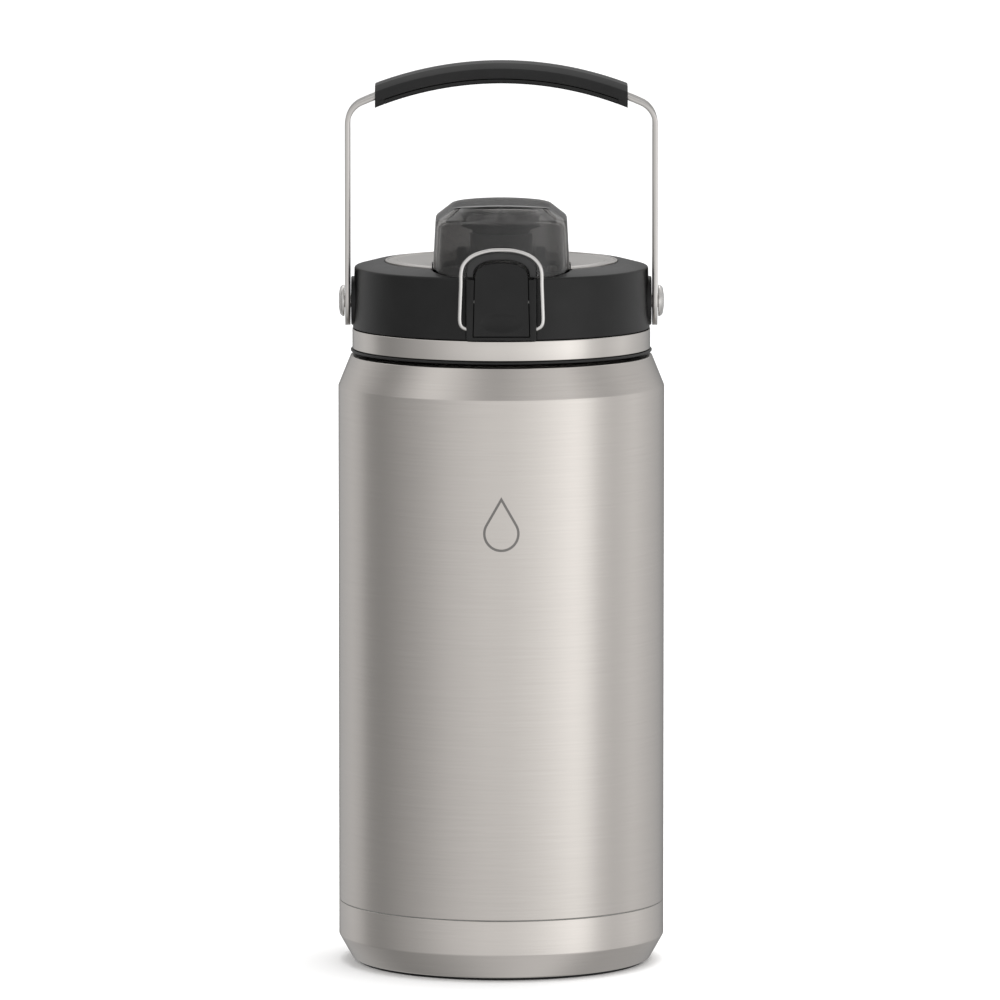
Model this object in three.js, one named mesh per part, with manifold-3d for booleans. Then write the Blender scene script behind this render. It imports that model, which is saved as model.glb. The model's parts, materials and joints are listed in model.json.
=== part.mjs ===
// Half-gallon vacuum water jug: a double-walled steel vessel with a screw-on spout lid,
// a flip-up smoke cap with a push button and a lock wire, and a swinging strap handle.
// Millimetres, +Z up, front towards -Y. The origin is the centre of the surface it stands on.

import * as THREE from "three";
import { mergeVertices } from "three/addons/utils/BufferGeometryUtils.js";
import Module from "manifold-3d";

const wasm = await Module();
wasm.setup();

// ---------------------------------------------------------------- driving dimensions

const GAP = 0.3; // clearance left where two pieces touch
const VESSEL_SIDES = 48;
const RING_SIDES = 40;
const TUBE_SIDES = 28;

// Vessel
const BODY_RADIUS = 60;
const SHELL_WALL = 0.7;
const LINER_WALL = 0.6;
const FOOT_THICKNESS = 0.7;
const BASE_FLOOR = FOOT_THICKNESS + GAP;
const BASE_CHAMFER_TOP = 10;
const BASE_RECESS = 2;
const RECESS_RADIUS = 45.5;
const RECESS_DRAFT = 1;
const FOOT_RADIUS = 54.3;
const SEAM = 22.9;
const SHOULDER_START = 213.5;
const SHOULDER_TOP = 225;
const SHOULDER_TOP_RADIUS = 55.3;
const SHOULDER_EDGE = 0.6; // small chamfer round the top of the shoulder
const NECK_RADIUS = 46.8;
const NECK_TOP = 247.2;
const LINER_RADIUS = 57.4;
const LINER_FLOOR = 9.2;
const LINER_SHOULDER = 206;
const LINER_NECK = 222;
const LINER_FLOOR_RADIUS = 50;
const LINER_CORNER = 8;
const MOUTH_RADIUS = NECK_RADIUS - SHELL_WALL - GAP - LINER_WALL;

// Screw thread between neck and lid
const THREAD_LEAD = 8;
const THREAD_STARTS = 2;
const THREAD_HEIGHT = 1.4;
const THREAD_START = 230;
const THREAD_TURNS = 1.2;

// Lid
const LIP_RADIUS = 55.4;
const LIP_BOTTOM = 226.2;
const BAND_RADIUS = 54.8;
const BAND_BOTTOM = 227.3;
const BAND_THICKNESS = 0.8;
const SKIRT_BOTTOM = 234.9;
const SKIRT_RADIUS = 54.6;
const SKIRT_INNER = 51.9;
const DECK_EDGE = 257.3;
const DECK_EDGE_RADIUS = 54;
const DECK_TOP = 259.2;
const DECK_FLAT_RADIUS = 46.5;
const DECK_UNDER = 255.2;
const DISC_RADIUS = 42.7;
const DISC_TOP = 259.7;
const DISC_THICKNESS = 0.6;
const INSERT_ROOT = 48.8;
const INSERT_OUTER = 50.4;
const INSERT_FLOOR = 249.3;
const INSERT_FLOOR_THICKNESS = 2;

// Spout and flip cap
const SPOUT_Y = -24;
const SPOUT_FLANGE = { radius: 17, thickness: 1.8 };
const SPOUT_COLLAR = { radius: 14.5, top: 261, chamfer: 1 };
const SPOUT_RADIUS = 11.3;
const SPOUT_BORE = 9.8;
const SPOUT_TOP = 271.6;
const SPOUT_LIP = 0.4;
const SEAL = { plug: 9.2, depth: 2.1, brim: 14.9, brimRise: 7.6 };
const CAP_HALF_WIDTH = 25;
const CAP_BEND_Y = -36; // the straight sides end here, and the round front starts
const CAP_FRONT_Y = -53.4;
const CAP_BACK_Y = -4;
const CAP_CORNER = 8;
const CAP_BOTTOM = 257.6;
const CAP_TOP = 283.3;
const CAP_WALL = 2;
const CAP_DRAFT = 0.0021; // share of the plan lost for each millimetre of height
const CAP_SHOULDER = { x: 17.2, z: 275.3, rise: 6.8, run: 6.9 };
const CAP_CHAMFER = { foot: 277.4, run: 5.6, backRun: 2.2 };
const CAP_CUT_MARGIN = 5; // how far a cutting shape passes the face that it cuts
const WELL_MARGIN = 0.6;
const WELL_FLOOR = 257.3;
const HINGE_Z = 262;
const HINGE_PIN_RADIUS = 1;
const HINGE_BARREL = 2.6;
const HINGE_EAR = { from: 13, to: 17 };
const HINGE_BAY = { halfWidth: 18, front: -10, back: 4 };

// Latch
const HOUSING_HALF_WIDTH = 12.7;
const HOUSING_BOTTOM = 235.2;
const HOUSING_TOP = 257.2;
const HOUSING_BACK_Y = -50.8;
const HOUSING_FRONT = { bottom: -58.6, top: -56.4 };
const AHEAD_Y = -62; // in front of everything on the latch
const BEHIND_Y = -40; // behind everything on the latch
const BUTTON_HALF_WIDTH = { bottom: 10.1, top: 9.55 };
const BUTTON_BOTTOM = 236.7;
const BUTTON_SHOULDER = 258.2;
const BUTTON_TOP = 263.2;
const DISH = { z: 240.5, ball: 22, depth: 0.6 };
const LUG = { radius: 1.7, from: 6.2, to: 9.2 };
const BUTTON_THICKNESS = 2.2;
const BUTTON_PIVOT = { y: -54.2, z: 249 };
const BUTTON_PIN_RADIUS = 0.8;
const FRAME_FRONT_Y = -54.6;
const FRAME_HALF_WIDTH = 12.6;
const FRAME_BACK_Y = -51;
const FRAME_SHOULDER = 260.6;
const FRAME_TOP = 266.9;
const FRAME_BAY = { halfWidth: 13.1, front: -60, back: -38 };
const WINDOW = { margin: 0.45, shoulder: 258.6, top: 264.1 };
const WIRE_RADIUS = 0.75;
const WIRE_PIVOT = { y: -56.6, z: 239.2 };
const WIRE_TOP = 268;
const WIRE_TOP_Y = -56;

// Handle
const PIVOT_Z = 244.6;
const BOSS_RADIUS = 9;
const BOSS_FACE = 55.2;
const STRAP_WIDTH = 18;
const STRAP_THICKNESS = 1.9;
const STRAP_OUTER_X = 57.4;
const STRAP_ARC_RADIUS = 128.5;
const STRAP_BEND = 9.5;
const ARC_CENTRE_Z = 201.1;
const GRIP_RADIUS = 131.8;
const GRIP_UNDER_RADIUS = 124.15;
const GRIP_HALF_DEPTH = 11;
const GRIP_HALF_LENGTH = 46.3;
const GRIP_INSERT_HALF_LENGTH = 42.7;
const GRIP_SPLIT_RADIUS = 125.6;
const GRIP_ANGLE = 24; // half of the arc that the grip is swept over before its ends are cut, in degrees
const GRIP_STEPS = 18;
const GRIP_ROUND = 1.6;
const SQUARE = 0.01; // rounding of a section whose edges stay sharp
const BELOW_GRIP = 120; // a radius inside the grip's arc, clear of it
const RIVET_HEAD_RADIUS = 5.8;
const RIVET_HEAD_HEIGHT = 2.1;
const RIVET_SHANK = 2.5;
const RIVET_INNER_X = 52;
const BUSHING_RADIUS = 4;

// ---------------------------------------------------------------- helpers

const DEG = Math.PI / 180;

/** A closed three.js geometry as a manifold-3d solid, from its positions only. */
function toSolid(geometry) {
  const bare = new THREE.BufferGeometry();
  bare.setAttribute("position", geometry.getAttribute("position"));
  if (geometry.index) bare.setIndex(geometry.index);
  const merged = mergeVertices(bare, 1e-4);
  const vertProperties = merged.attributes.position.array;
  const triVerts = new Uint32Array(merged.index.array);
  return new wasm.Manifold(new wasm.Mesh({ numProp: 3, vertProperties, triVerts }));
}

/** A manifold-3d solid as a three.js geometry. */
function toGeometry(solid) {
  const mesh = solid.getMesh();
  const geometry = new THREE.BufferGeometry();
  geometry.setAttribute("position", new THREE.BufferAttribute(mesh.vertProperties, 3));
  geometry.setIndex(new THREE.BufferAttribute(mesh.triVerts, 1));
  geometry.computeVertexNormals();
  return geometry;
}

/** One shape with others joined to it and cut out of it. */
function carve(base, { joins = [], cuts = [] }) {
  let solid = toSolid(base);
  for (const piece of joins) solid = solid.add(toSolid(piece));
  for (const piece of cuts) solid = solid.subtract(toSolid(piece));
  return toGeometry(solid);
}

/** The volume that two shapes share. */
function common(a, b) {
  return toGeometry(toSolid(a).intersect(toSolid(b)));
}

/** A solid of revolution about Z from [radius, height] pairs, outer wall running upwards. */
function turned(profile, sides) {
  const points = profile.map(([r, z]) => new THREE.Vector2(r, z));
  return new THREE.LatheGeometry(points, sides).rotateX(Math.PI / 2);
}

/** The same profile closed on itself, for a ring. */
function turnedRing(profile, sides) {
  return turned([...profile, profile[0]], sides);
}

/** A plain ring between two radii and two heights. */
function ring(inner, outer, bottom, top, sides) {
  return turnedRing([[inner, bottom], [outer, bottom], [outer, top], [inner, top]], sides);
}

/** A rod about Z, centred on (x, y), from one height to another. */
function rodZ(radius, x, y, bottom, top, sides = TUBE_SIDES) {
  const rod = new THREE.CylinderGeometry(radius, radius, top - bottom, sides);
  return rod.rotateX(Math.PI / 2).translate(x, y, (bottom + top) / 2);
}

/** A rod along X, centred on (y, z). */
function rodX(radius, from, to, y, z, sides = 24) {
  const rod = new THREE.CylinderGeometry(radius, radius, Math.abs(to - from), sides);
  return rod.rotateZ(Math.PI / 2).translate((from + to) / 2, y, z);
}

/** A box from its lowest to its highest corner. */
function block([x0, y0, z0], [x1, y1, z1]) {
  const box = new THREE.BoxGeometry(x1 - x0, y1 - y0, z1 - z0);
  return box.translate((x0 + x1) / 2, (y0 + y1) / 2, (z0 + z1) / 2);
}

/** A flat outline drawn in X and Z, extruded along Y from one depth to another. */
function slabY(shape, from, to, curveSegments = 8) {
  const slab = new THREE.ExtrudeGeometry(shape, { depth: to - from, bevelEnabled: false, curveSegments });
  return slab.rotateX(Math.PI / 2).translate(0, to, 0);
}

/** A flat outline drawn in X and Y, extruded upwards. */
function slabZ(shape, bottom, top, curveSegments = 8) {
  const slab = new THREE.ExtrudeGeometry(shape, { depth: top - bottom, bevelEnabled: false, curveSegments });
  return slab.translate(0, 0, bottom);
}

/** A flat outline drawn in Y and Z, extruded along X. */
function slabX(shape, from, to) {
  const slab = new THREE.ExtrudeGeometry(shape, { depth: to - from, bevelEnabled: false });
  return slab.rotateX(Math.PI / 2).rotateZ(Math.PI / 2).translate(from, 0, 0);
}

/** Moves each vertex of a geometry by a function of its place. */
function reshape(geometry, move) {
  const position = geometry.getAttribute("position");
  const point = new THREE.Vector3();
  for (let i = 0; i < position.count; i++) {
    point.fromBufferAttribute(position, i);
    move(point);
    position.setXYZ(i, point.x, point.y, point.z);
  }
  return geometry;
}

/** A round wire along a curve. */
function wire(curve, radius, steps, sides = 8) {
  const section = new THREE.Shape();
  section.absarc(0, 0, radius, 0, 2 * Math.PI);
  return new THREE.ExtrudeGeometry(section, { extrudePath: curve, steps, curveSegments: sides / 2 });
}

/** A coil of wire about the Z axis that starts at the origin's height. */
class Coil extends THREE.Curve {
  constructor(radius, length, turns) {
    super();
    Object.assign(this, { radius, length, turns });
  }

  getPoint(t, target = new THREE.Vector3()) {
    const angle = 2 * Math.PI * this.turns * t;
    return target.set(this.radius * Math.cos(angle), this.radius * Math.sin(angle), this.length * t);
  }
}

// ---------------------------------------------------------------- materials

function finish(color, roughness, metalness) {
  return new THREE.MeshStandardMaterial({ color, roughness, metalness });
}

const brushedSteel = finish(0xb9b4ad, 0.38, 1);
const plainSteel = finish(0xc4c2be, 0.3, 1);
const copper = finish(0xb8744a, 0.3, 1);
const blackPlastic = finish(0x2b2b2b, 0.5, 0);
const softGrip = finish(0x262626, 0.7, 0);
const silicone = finish(0x3a3a3a, 0.75, 0);
const clearSilicone = finish(0xc9c9c4, 0.6, 0);
const nylon = finish(0x1c1c1c, 0.6, 0);
const smoke = finish(0x4a4a48, 0.1, 0);
const getterGrey = finish(0x8a8a88, 0.6, 0.6);

const jug = new THREE.Group();

/** Adds one named piece to a group. */
function place(group, name, geometry, material) {
  const mesh = new THREE.Mesh(geometry, material);
  mesh.name = name;
  group.add(mesh);
  return mesh;
}

// ---------------------------------------------------------------- screw thread

/** The same triangles wound the other way, for a shape that a mapping has turned inside out. */
function rewound(geometry) {
  const flipped = geometry.getAttribute("position").array.slice();
  for (let i = 0; i < flipped.length; i += 9) {
    for (let k = 3; k < 6; k++) {
      [flipped[i + k], flipped[i + k + 3]] = [flipped[i + k + 3], flipped[i + k]];
    }
  }
  return geometry.setAttribute("position", new THREE.BufferAttribute(flipped, 3));
}

/** A ridge of the screw thread, wound round Z: its foot at one radius and its crest at another. */
function threadRidge(footRadius, crestRadius, startAngle, startZ) {
  const STEPS = 32;
  const FOOT_HALF = 0.8;
  const CREST_HALF = 0.4;
  const SINK = 0.35; // how far the foot reaches into the wall
  const RUN_OUT = 0.06; // share of the length over which each end sinks away
  const outward = crestRadius > footRadius;
  const foot = footRadius + (outward ? -SINK : SINK);
  const section = new THREE.Shape();
  section.moveTo(0, -FOOT_HALF).lineTo(1, -CREST_HALF).lineTo(1, CREST_HALF).lineTo(0, FOOT_HALF);
  const straight = new THREE.ExtrudeGeometry(section, { steps: STEPS, depth: 1, bevelEnabled: false });
  reshape(straight, (p) => {
    const share = THREE.MathUtils.clamp(Math.min(p.z, 1 - p.z) / RUN_OUT, 0.15, 1);
    const angle = startAngle + 2 * Math.PI * THREAD_TURNS * p.z;
    const crest = footRadius + (crestRadius - footRadius) * share;
    const radius = foot + (crest - foot) * p.x;
    const height = startZ + THREAD_LEAD * THREAD_TURNS * p.z + p.y;
    p.set(radius * Math.cos(angle), radius * Math.sin(angle), height);
  });
  return outward ? rewound(straight) : straight;
}

/** Every start of a thread that begins at one height. */
function thread(footRadius, crestRadius, startZ) {
  const ridges = [];
  for (let start = 0; start < THREAD_STARTS; start++) {
    ridges.push(threadRidge(footRadius, crestRadius, (2 * Math.PI * start) / THREAD_STARTS, startZ));
  }
  return ridges;
}

// ---------------------------------------------------------------- vessel

function outerShell() {
  const bottom = SEAM + GAP / 2;
  const inner = BODY_RADIUS - SHELL_WALL;
  const ledge = SHOULDER_TOP - SHELL_WALL;
  const shell = turnedRing([
    [inner, bottom],
    [BODY_RADIUS, bottom],
    [BODY_RADIUS, SHOULDER_START],
    [SHOULDER_TOP_RADIUS, SHOULDER_TOP - SHOULDER_EDGE],
    [SHOULDER_TOP_RADIUS - SHOULDER_EDGE, SHOULDER_TOP],
    [NECK_RADIUS, SHOULDER_TOP],
    [NECK_RADIUS, NECK_TOP - LINER_WALL - GAP],
    [NECK_RADIUS - SHELL_WALL, NECK_TOP - LINER_WALL - GAP],
    [NECK_RADIUS - SHELL_WALL, ledge],
    [SHOULDER_TOP_RADIUS - SHOULDER_EDGE - GAP, ledge],
    [inner, SHOULDER_START - 0.2],
  ], VESSEL_SIDES);
  return carve(shell, { joins: thread(NECK_RADIUS, NECK_RADIUS + THREAD_HEIGHT, THREAD_START) });
}

function outerBase() {
  const top = SEAM - GAP / 2;
  const inner = BODY_RADIUS - SHELL_WALL;
  const recess = BASE_FLOOR + BASE_RECESS;
  return turned([
    [0, recess],
    [RECESS_RADIUS, recess],
    [RECESS_RADIUS + RECESS_DRAFT, BASE_FLOOR],
    [FOOT_RADIUS - 0.9, BASE_FLOOR],
    [FOOT_RADIUS, BASE_FLOOR + 0.7],
    [BODY_RADIUS, BASE_CHAMFER_TOP],
    [BODY_RADIUS, top],
    [inner, top],
    [inner, BASE_CHAMFER_TOP + 0.2],
    [FOOT_RADIUS - 0.8, BASE_FLOOR + 1],
    [RECESS_RADIUS + RECESS_DRAFT + 0.4, BASE_FLOOR + SHELL_WALL],
    [RECESS_RADIUS + 0.4, recess + SHELL_WALL],
    [0, recess + SHELL_WALL],
  ], VESSEL_SIDES);
}

function innerLiner() {
  const inner = LINER_RADIUS - LINER_WALL;
  const neckOuter = MOUTH_RADIUS + LINER_WALL;
  return turned([
    [0, LINER_FLOOR],
    [LINER_FLOOR_RADIUS, LINER_FLOOR],
    [LINER_RADIUS, LINER_FLOOR + LINER_CORNER],
    [LINER_RADIUS, LINER_SHOULDER],
    [neckOuter, LINER_NECK],
    [neckOuter, NECK_TOP - LINER_WALL],
    [NECK_RADIUS, NECK_TOP - LINER_WALL],
    [NECK_RADIUS, NECK_TOP],
    [MOUTH_RADIUS, NECK_TOP],
    [MOUTH_RADIUS, LINER_NECK - 0.3],
    [inner, LINER_SHOULDER - 0.3],
    [inner, LINER_FLOOR + LINER_CORNER + 0.2],
    [LINER_FLOOR_RADIUS - 0.2, LINER_FLOOR + LINER_WALL],
    [0, LINER_FLOOR + LINER_WALL],
  ], VESSEL_SIDES);
}

const vessel = new THREE.Group();
place(vessel, "outer_shell", outerShell(), brushedSteel);
place(vessel, "outer_base", outerBase(), brushedSteel);
place(vessel, "inner_liner", innerLiner(), plainSteel);
place(vessel, "radiation_foil", ring(LINER_RADIUS + 0.4, LINER_RADIUS + 0.7, 20, 200, RING_SIDES), copper);
place(vessel, "foot_ring", ring(47.2, FOOT_RADIUS - 1.2, 0, FOOT_THICKNESS, VESSEL_SIDES), silicone);
place(vessel, "getter", rodZ(4, 15, 10, 4.1, 6.1, 20), getterGrey);
place(vessel, "vacuum_seal", rodZ(4, 0, 0, 1.7, 2.7, 20), getterGrey);

// ---------------------------------------------------------------- lid

/** The flip cap's outline seen from above, drawn in by an inset. */
function capPlan(inset) {
  const half = CAP_HALF_WIDTH - inset;
  const front = CAP_FRONT_Y + inset;
  const back = CAP_BACK_Y - inset;
  const corner = CAP_CORNER - inset * 0.5;
  const plan = new THREE.Shape();
  plan.moveTo(-half + corner, back);
  plan.absarc(-half + corner, back - corner, corner, Math.PI / 2, Math.PI, false);
  plan.lineTo(-half, CAP_BEND_Y);
  plan.absellipse(0, CAP_BEND_Y, half, CAP_BEND_Y - front, Math.PI, 2 * Math.PI, false, 0);
  plan.lineTo(half, back - corner);
  plan.absarc(half - corner, back - corner, corner, 0, Math.PI / 2, false);
  plan.closePath();
  return plan;
}

/** The cap's form as seen from the front: a flat loaf with round shoulders and a low crown. */
function capLoaf(inset) {
  const { x, z, rise, run } = CAP_SHOULDER;
  const wide = 30;
  const shoulderX = x + run - inset;
  const loaf = new THREE.Shape();
  loaf.moveTo(shoulderX, z);
  loaf.absellipse(x - inset * 0.3, z, run - inset * 0.7, rise - inset, 0, Math.PI / 2, false, 0);
  loaf.quadraticCurveTo(0, CAP_TOP + 1.1 - inset, -(x - inset * 0.3), z + rise - inset);
  loaf.absellipse(-(x - inset * 0.3), z, run - inset * 0.7, rise - inset, Math.PI / 2, Math.PI, false, 0);
  loaf.lineTo(-wide, z);
  loaf.lineTo(-wide, CAP_BOTTOM - 10);
  loaf.lineTo(wide, CAP_BOTTOM - 10);
  loaf.lineTo(wide, z);
  loaf.closePath();
  return loaf;
}

/** The cap's form as seen from the side: chamfered above the front wall and, less, above the back wall. */
function capSide(inset) {
  const { foot, run, backRun } = CAP_CHAMFER;
  const front = CAP_FRONT_Y + inset + 1;
  const back = CAP_BACK_Y - inset - 1.2;
  const low = CAP_BOTTOM - 2 * CAP_CUT_MARGIN;
  const side = new THREE.Shape();
  side.moveTo(front - CAP_CUT_MARGIN, low);
  side.lineTo(front - CAP_CUT_MARGIN, foot - inset);
  side.lineTo(front, foot - inset);
  side.lineTo(front + run, CAP_TOP - inset);
  side.lineTo(back - backRun, CAP_TOP - inset);
  side.lineTo(back, foot - inset);
  side.lineTo(back + CAP_CUT_MARGIN, foot - inset);
  side.lineTo(back + CAP_CUT_MARGIN, low);
  side.closePath();
  return side;
}

/** The cap's outline raised into a solid that narrows upwards, under the loaf and the chamfers. */
function capForm(inset, bottom) {
  const prism = slabZ(capPlan(inset), bottom, CAP_TOP + CAP_CUT_MARGIN, 9);
  reshape(prism, (p) => {
    const keep = 1 - CAP_DRAFT * (p.z - CAP_BOTTOM);
    p.x *= keep;
    p.y = CAP_BEND_Y + (p.y - CAP_BEND_Y) * keep;
  });
  const loaf = slabY(capLoaf(inset), CAP_FRONT_Y - CAP_CUT_MARGIN, CAP_CUT_MARGIN, 6);
  const reach = CAP_HALF_WIDTH + CAP_CUT_MARGIN;
  return common(common(prism, loaf), slabX(capSide(inset), -reach, reach));
}

/** The recess in the deck that the cap, its frame and its hinge sit in. */
function deckWell() {
  const rise = DISC_TOP + CAP_CUT_MARGIN;
  const outline = slabZ(capPlan(-WELL_MARGIN), WELL_FLOOR, rise, 12);
  const bays = [FRAME_BAY, HINGE_BAY].map(({ halfWidth, front, back }) => {
    return block([-halfWidth, front, WELL_FLOOR], [halfWidth, back, rise]);
  });
  return [outline, ...bays];
}

function lidShell() {
  const shell = turned([
    [0, DECK_UNDER],
    [SKIRT_INNER, DECK_UNDER],
    [SKIRT_INNER, SKIRT_BOTTOM],
    [SKIRT_RADIUS, SKIRT_BOTTOM],
    [DECK_EDGE_RADIUS, DECK_EDGE],
    [DECK_FLAT_RADIUS, DECK_TOP],
    [DISC_RADIUS + GAP, DECK_TOP],
    [DISC_RADIUS + GAP, DISC_TOP - DISC_THICKNESS - GAP],
    [0, DISC_TOP - DISC_THICKNESS - GAP],
  ], VESSEL_SIDES);
  const sides = [-1, 1];
  const bosses = sides.flatMap((s) => [
    rodX(BOSS_RADIUS, s * 53, s * BOSS_FACE, 0, PIVOT_Z, TUBE_SIDES),
    rodX(6, s * 50.8, s * 54, 0, PIVOT_Z),
  ]);
  const earFoot = (s) => block(
    [Math.min(s * HINGE_EAR.from, s * HINGE_EAR.to), -HINGE_BARREL, WELL_FLOOR - 1],
    [Math.max(s * HINGE_EAR.from, s * HINGE_EAR.to), HINGE_BARREL, HINGE_Z],
  );
  const ears = sides.flatMap((s) => [
    rodX(HINGE_BARREL, s * HINGE_EAR.from, s * HINGE_EAR.to, 0, HINGE_Z),
    earFoot(s),
  ]);
  const spoutHole = rodZ(SPOUT_COLLAR.radius + 0.5, 0, SPOUT_Y, DECK_UNDER - 2, DECK_TOP + 5);
  const ventHole = rodZ(1.6, 18.9, SPOUT_Y, DECK_UNDER - 2, DECK_TOP + 5, 16);
  const front = HOUSING_BACK_Y + GAP;
  const latchBay = block([-13, -62, SKIRT_BOTTOM - 5], [13, front, DECK_TOP + 5]);
  const rivetHoles = sides.map((s) => rodX(RIVET_SHANK + GAP, s * 51.2, s * 60, 0, PIVOT_Z));
  const pinHole = rodX(HINGE_PIN_RADIUS + GAP, -20, 20, 0, HINGE_Z, 16);
  const hollowed = carve(shell, { joins: bosses, cuts: [...deckWell(), spoutHole, ventHole, latchBay] });
  return carve(hollowed, { joins: ears, cuts: [pinHole, ...rivetHoles] });
}

function lidInsert() {
  const insert = turned([
    [0, INSERT_FLOOR],
    [INSERT_ROOT, INSERT_FLOOR],
    [INSERT_ROOT, LIP_BOTTOM],
    [LIP_RADIUS - 0.3, LIP_BOTTOM],
    [LIP_RADIUS, LIP_BOTTOM + 0.4],
    [LIP_RADIUS - 0.3, BAND_BOTTOM - GAP],
    [BAND_RADIUS - BAND_THICKNESS - GAP, BAND_BOTTOM - GAP],
    [BAND_RADIUS - BAND_THICKNESS - GAP, SKIRT_BOTTOM - GAP],
    [INSERT_OUTER, SKIRT_BOTTOM - GAP],
    [INSERT_OUTER, INSERT_FLOOR + INSERT_FLOOR_THICKNESS],
    [0, INSERT_FLOOR + INSERT_FLOOR_THICKNESS],
  ], VESSEL_SIDES);
  const halfPitch = THREAD_LEAD / THREAD_STARTS / 2;
  const ridges = thread(INSERT_ROOT, INSERT_ROOT - THREAD_HEIGHT, THREAD_START - halfPitch);
  const bore = rodZ(SPOUT_BORE, 0, SPOUT_Y, INSERT_FLOOR - 1, INSERT_FLOOR + 4);
  return carve(insert, { joins: ridges, cuts: [bore] });
}

function topDisc() {
  const disc = rodZ(DISC_RADIUS, 0, 0, DISC_TOP - DISC_THICKNESS, DISC_TOP, VESSEL_SIDES);
  return carve(disc, { cuts: deckWell() });
}

function spout() {
  const flange = INSERT_FLOOR + INSERT_FLOOR_THICKNESS + GAP;
  return turnedRing([
    [SPOUT_BORE, flange],
    [SPOUT_FLANGE.radius, flange],
    [SPOUT_FLANGE.radius, flange + SPOUT_FLANGE.thickness],
    [SPOUT_COLLAR.radius, flange + SPOUT_FLANGE.thickness + SPOUT_COLLAR.chamfer],
    [SPOUT_COLLAR.radius, SPOUT_COLLAR.top],
    [SPOUT_RADIUS, SPOUT_COLLAR.top + SPOUT_COLLAR.chamfer],
    [SPOUT_RADIUS, SPOUT_TOP - SPOUT_LIP],
    [SPOUT_RADIUS - SPOUT_LIP, SPOUT_TOP],
    [SPOUT_BORE + SPOUT_LIP, SPOUT_TOP],
    [SPOUT_BORE, SPOUT_TOP - 2 * SPOUT_LIP],
  ], TUBE_SIDES).translate(0, SPOUT_Y, 0);
}

function ventValve() {
  return turned([
    [0, DECK_UNDER - 1.2],
    [1.9, DECK_UNDER - 1.2],
    [1.9, DECK_UNDER - GAP],
    [1.2, DECK_UNDER - GAP],
    [1.2, WELL_FLOOR + GAP],
    [2.5, WELL_FLOOR + GAP],
    [1.6, WELL_FLOOR + 2.2],
    [0, WELL_FLOOR + 2.2],
  ], 20).translate(18.9, SPOUT_Y, 0);
}

function rivet(side) {
  const under = STRAP_OUTER_X + GAP;
  const profile = [
    [0, RIVET_INNER_X - under],
    [RIVET_SHANK, RIVET_INNER_X - under],
    [RIVET_SHANK, 0],
    [RIVET_HEAD_RADIUS, 0],
    [RIVET_HEAD_RADIUS, 0.6],
    [RIVET_HEAD_RADIUS * 0.82, RIVET_HEAD_HEIGHT * 0.72],
    [RIVET_HEAD_RADIUS * 0.5, RIVET_HEAD_HEIGHT * 0.95],
    [0, RIVET_HEAD_HEIGHT],
  ];
  return turned(profile, 24).rotateY((side * Math.PI) / 2).translate(side * under, 0, PIVOT_Z);
}

function bushing(side) {
  const length = STRAP_THICKNESS;
  const tube = ring(RIVET_SHANK + GAP, BUSHING_RADIUS, 0, length, 24);
  return tube.rotateY((side * Math.PI) / 2).translate(side * (STRAP_OUTER_X - length), 0, PIVOT_Z);
}

function lidBand() {
  return ring(BAND_RADIUS - BAND_THICKNESS, BAND_RADIUS, BAND_BOTTOM, SKIRT_BOTTOM - GAP, VESSEL_SIDES);
}

function lidGasket() {
  const overhang = 0.6;
  return ring(MOUTH_RADIUS - overhang, INSERT_ROOT - GAP, NECK_TOP + GAP, INSERT_FLOOR - GAP, RING_SIDES);
}

const lid = new THREE.Group();
place(lid, "lid_shell", lidShell(), blackPlastic);
place(lid, "lid_insert", lidInsert(), blackPlastic);
place(lid, "lid_band", lidBand(), brushedSteel);
place(lid, "lid_gasket", lidGasket(), clearSilicone);
place(lid, "top_disc", topDisc(), plainSteel);
place(lid, "spout", spout(), blackPlastic);
place(lid, "vent_valve", ventValve(), clearSilicone);
place(lid, "rivet_left", rivet(-1), plainSteel);
place(lid, "rivet_right", rivet(1), plainSteel);
place(lid, "bushing_left", bushing(-1), nylon);
place(lid, "bushing_right", bushing(1), nylon);

// ---------------------------------------------------------------- flip cap

/** The cap's two hinge barrels, with the webs that tie them to its back wall. */
function capKnuckles() {
  const BARREL = { from: 4, to: 12.5 };
  return [-1, 1].flatMap((s) => {
    const low = Math.min(s * BARREL.from, s * BARREL.to);
    const high = Math.max(s * BARREL.from, s * BARREL.to);
    const web = block([low, CAP_BACK_Y - 1.2, HINGE_Z - 1.6], [high, -0.5, HINGE_Z + 1.6]);
    return [rodX(HINGE_BARREL, low, high, 0, HINGE_Z), web];
  });
}

function capShell() {
  const hollow = capForm(CAP_WALL, CAP_BOTTOM - 3);
  const pinBore = rodX(HINGE_PIN_RADIUS + GAP, -20, 20, 0, HINGE_Z, 16);
  const seat = FRAME_HALF_WIDTH + GAP;
  const seatForm = arch(seat, seat, CAP_BOTTOM - 2, FRAME_SHOULDER, FRAME_TOP + GAP);
  const frameSeat = slabY(seatForm, CAP_FRONT_Y - CAP_CUT_MARGIN, FRAME_BACK_Y + 2);
  const walls = carve(capForm(0, CAP_BOTTOM), { joins: capKnuckles() });
  return carve(walls, { cuts: [hollow, pinBore, frameSeat] });
}

/** An arch drawn in X and Z: upright sides, round shoulders and a low crown. */
function arch(halfFoot, halfTop, foot, shoulder, crown) {
  const outline = new THREE.Shape();
  outline.moveTo(-halfFoot, foot);
  outline.lineTo(-halfTop, shoulder);
  outline.bezierCurveTo(-halfTop, (shoulder + crown) / 2 + 1.2, -halfTop / 2, crown, 0, crown);
  outline.bezierCurveTo(halfTop / 2, crown, halfTop, (shoulder + crown) / 2 + 1.2, halfTop, shoulder);
  outline.lineTo(halfFoot, foot);
  outline.closePath();
  return outline;
}

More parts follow.
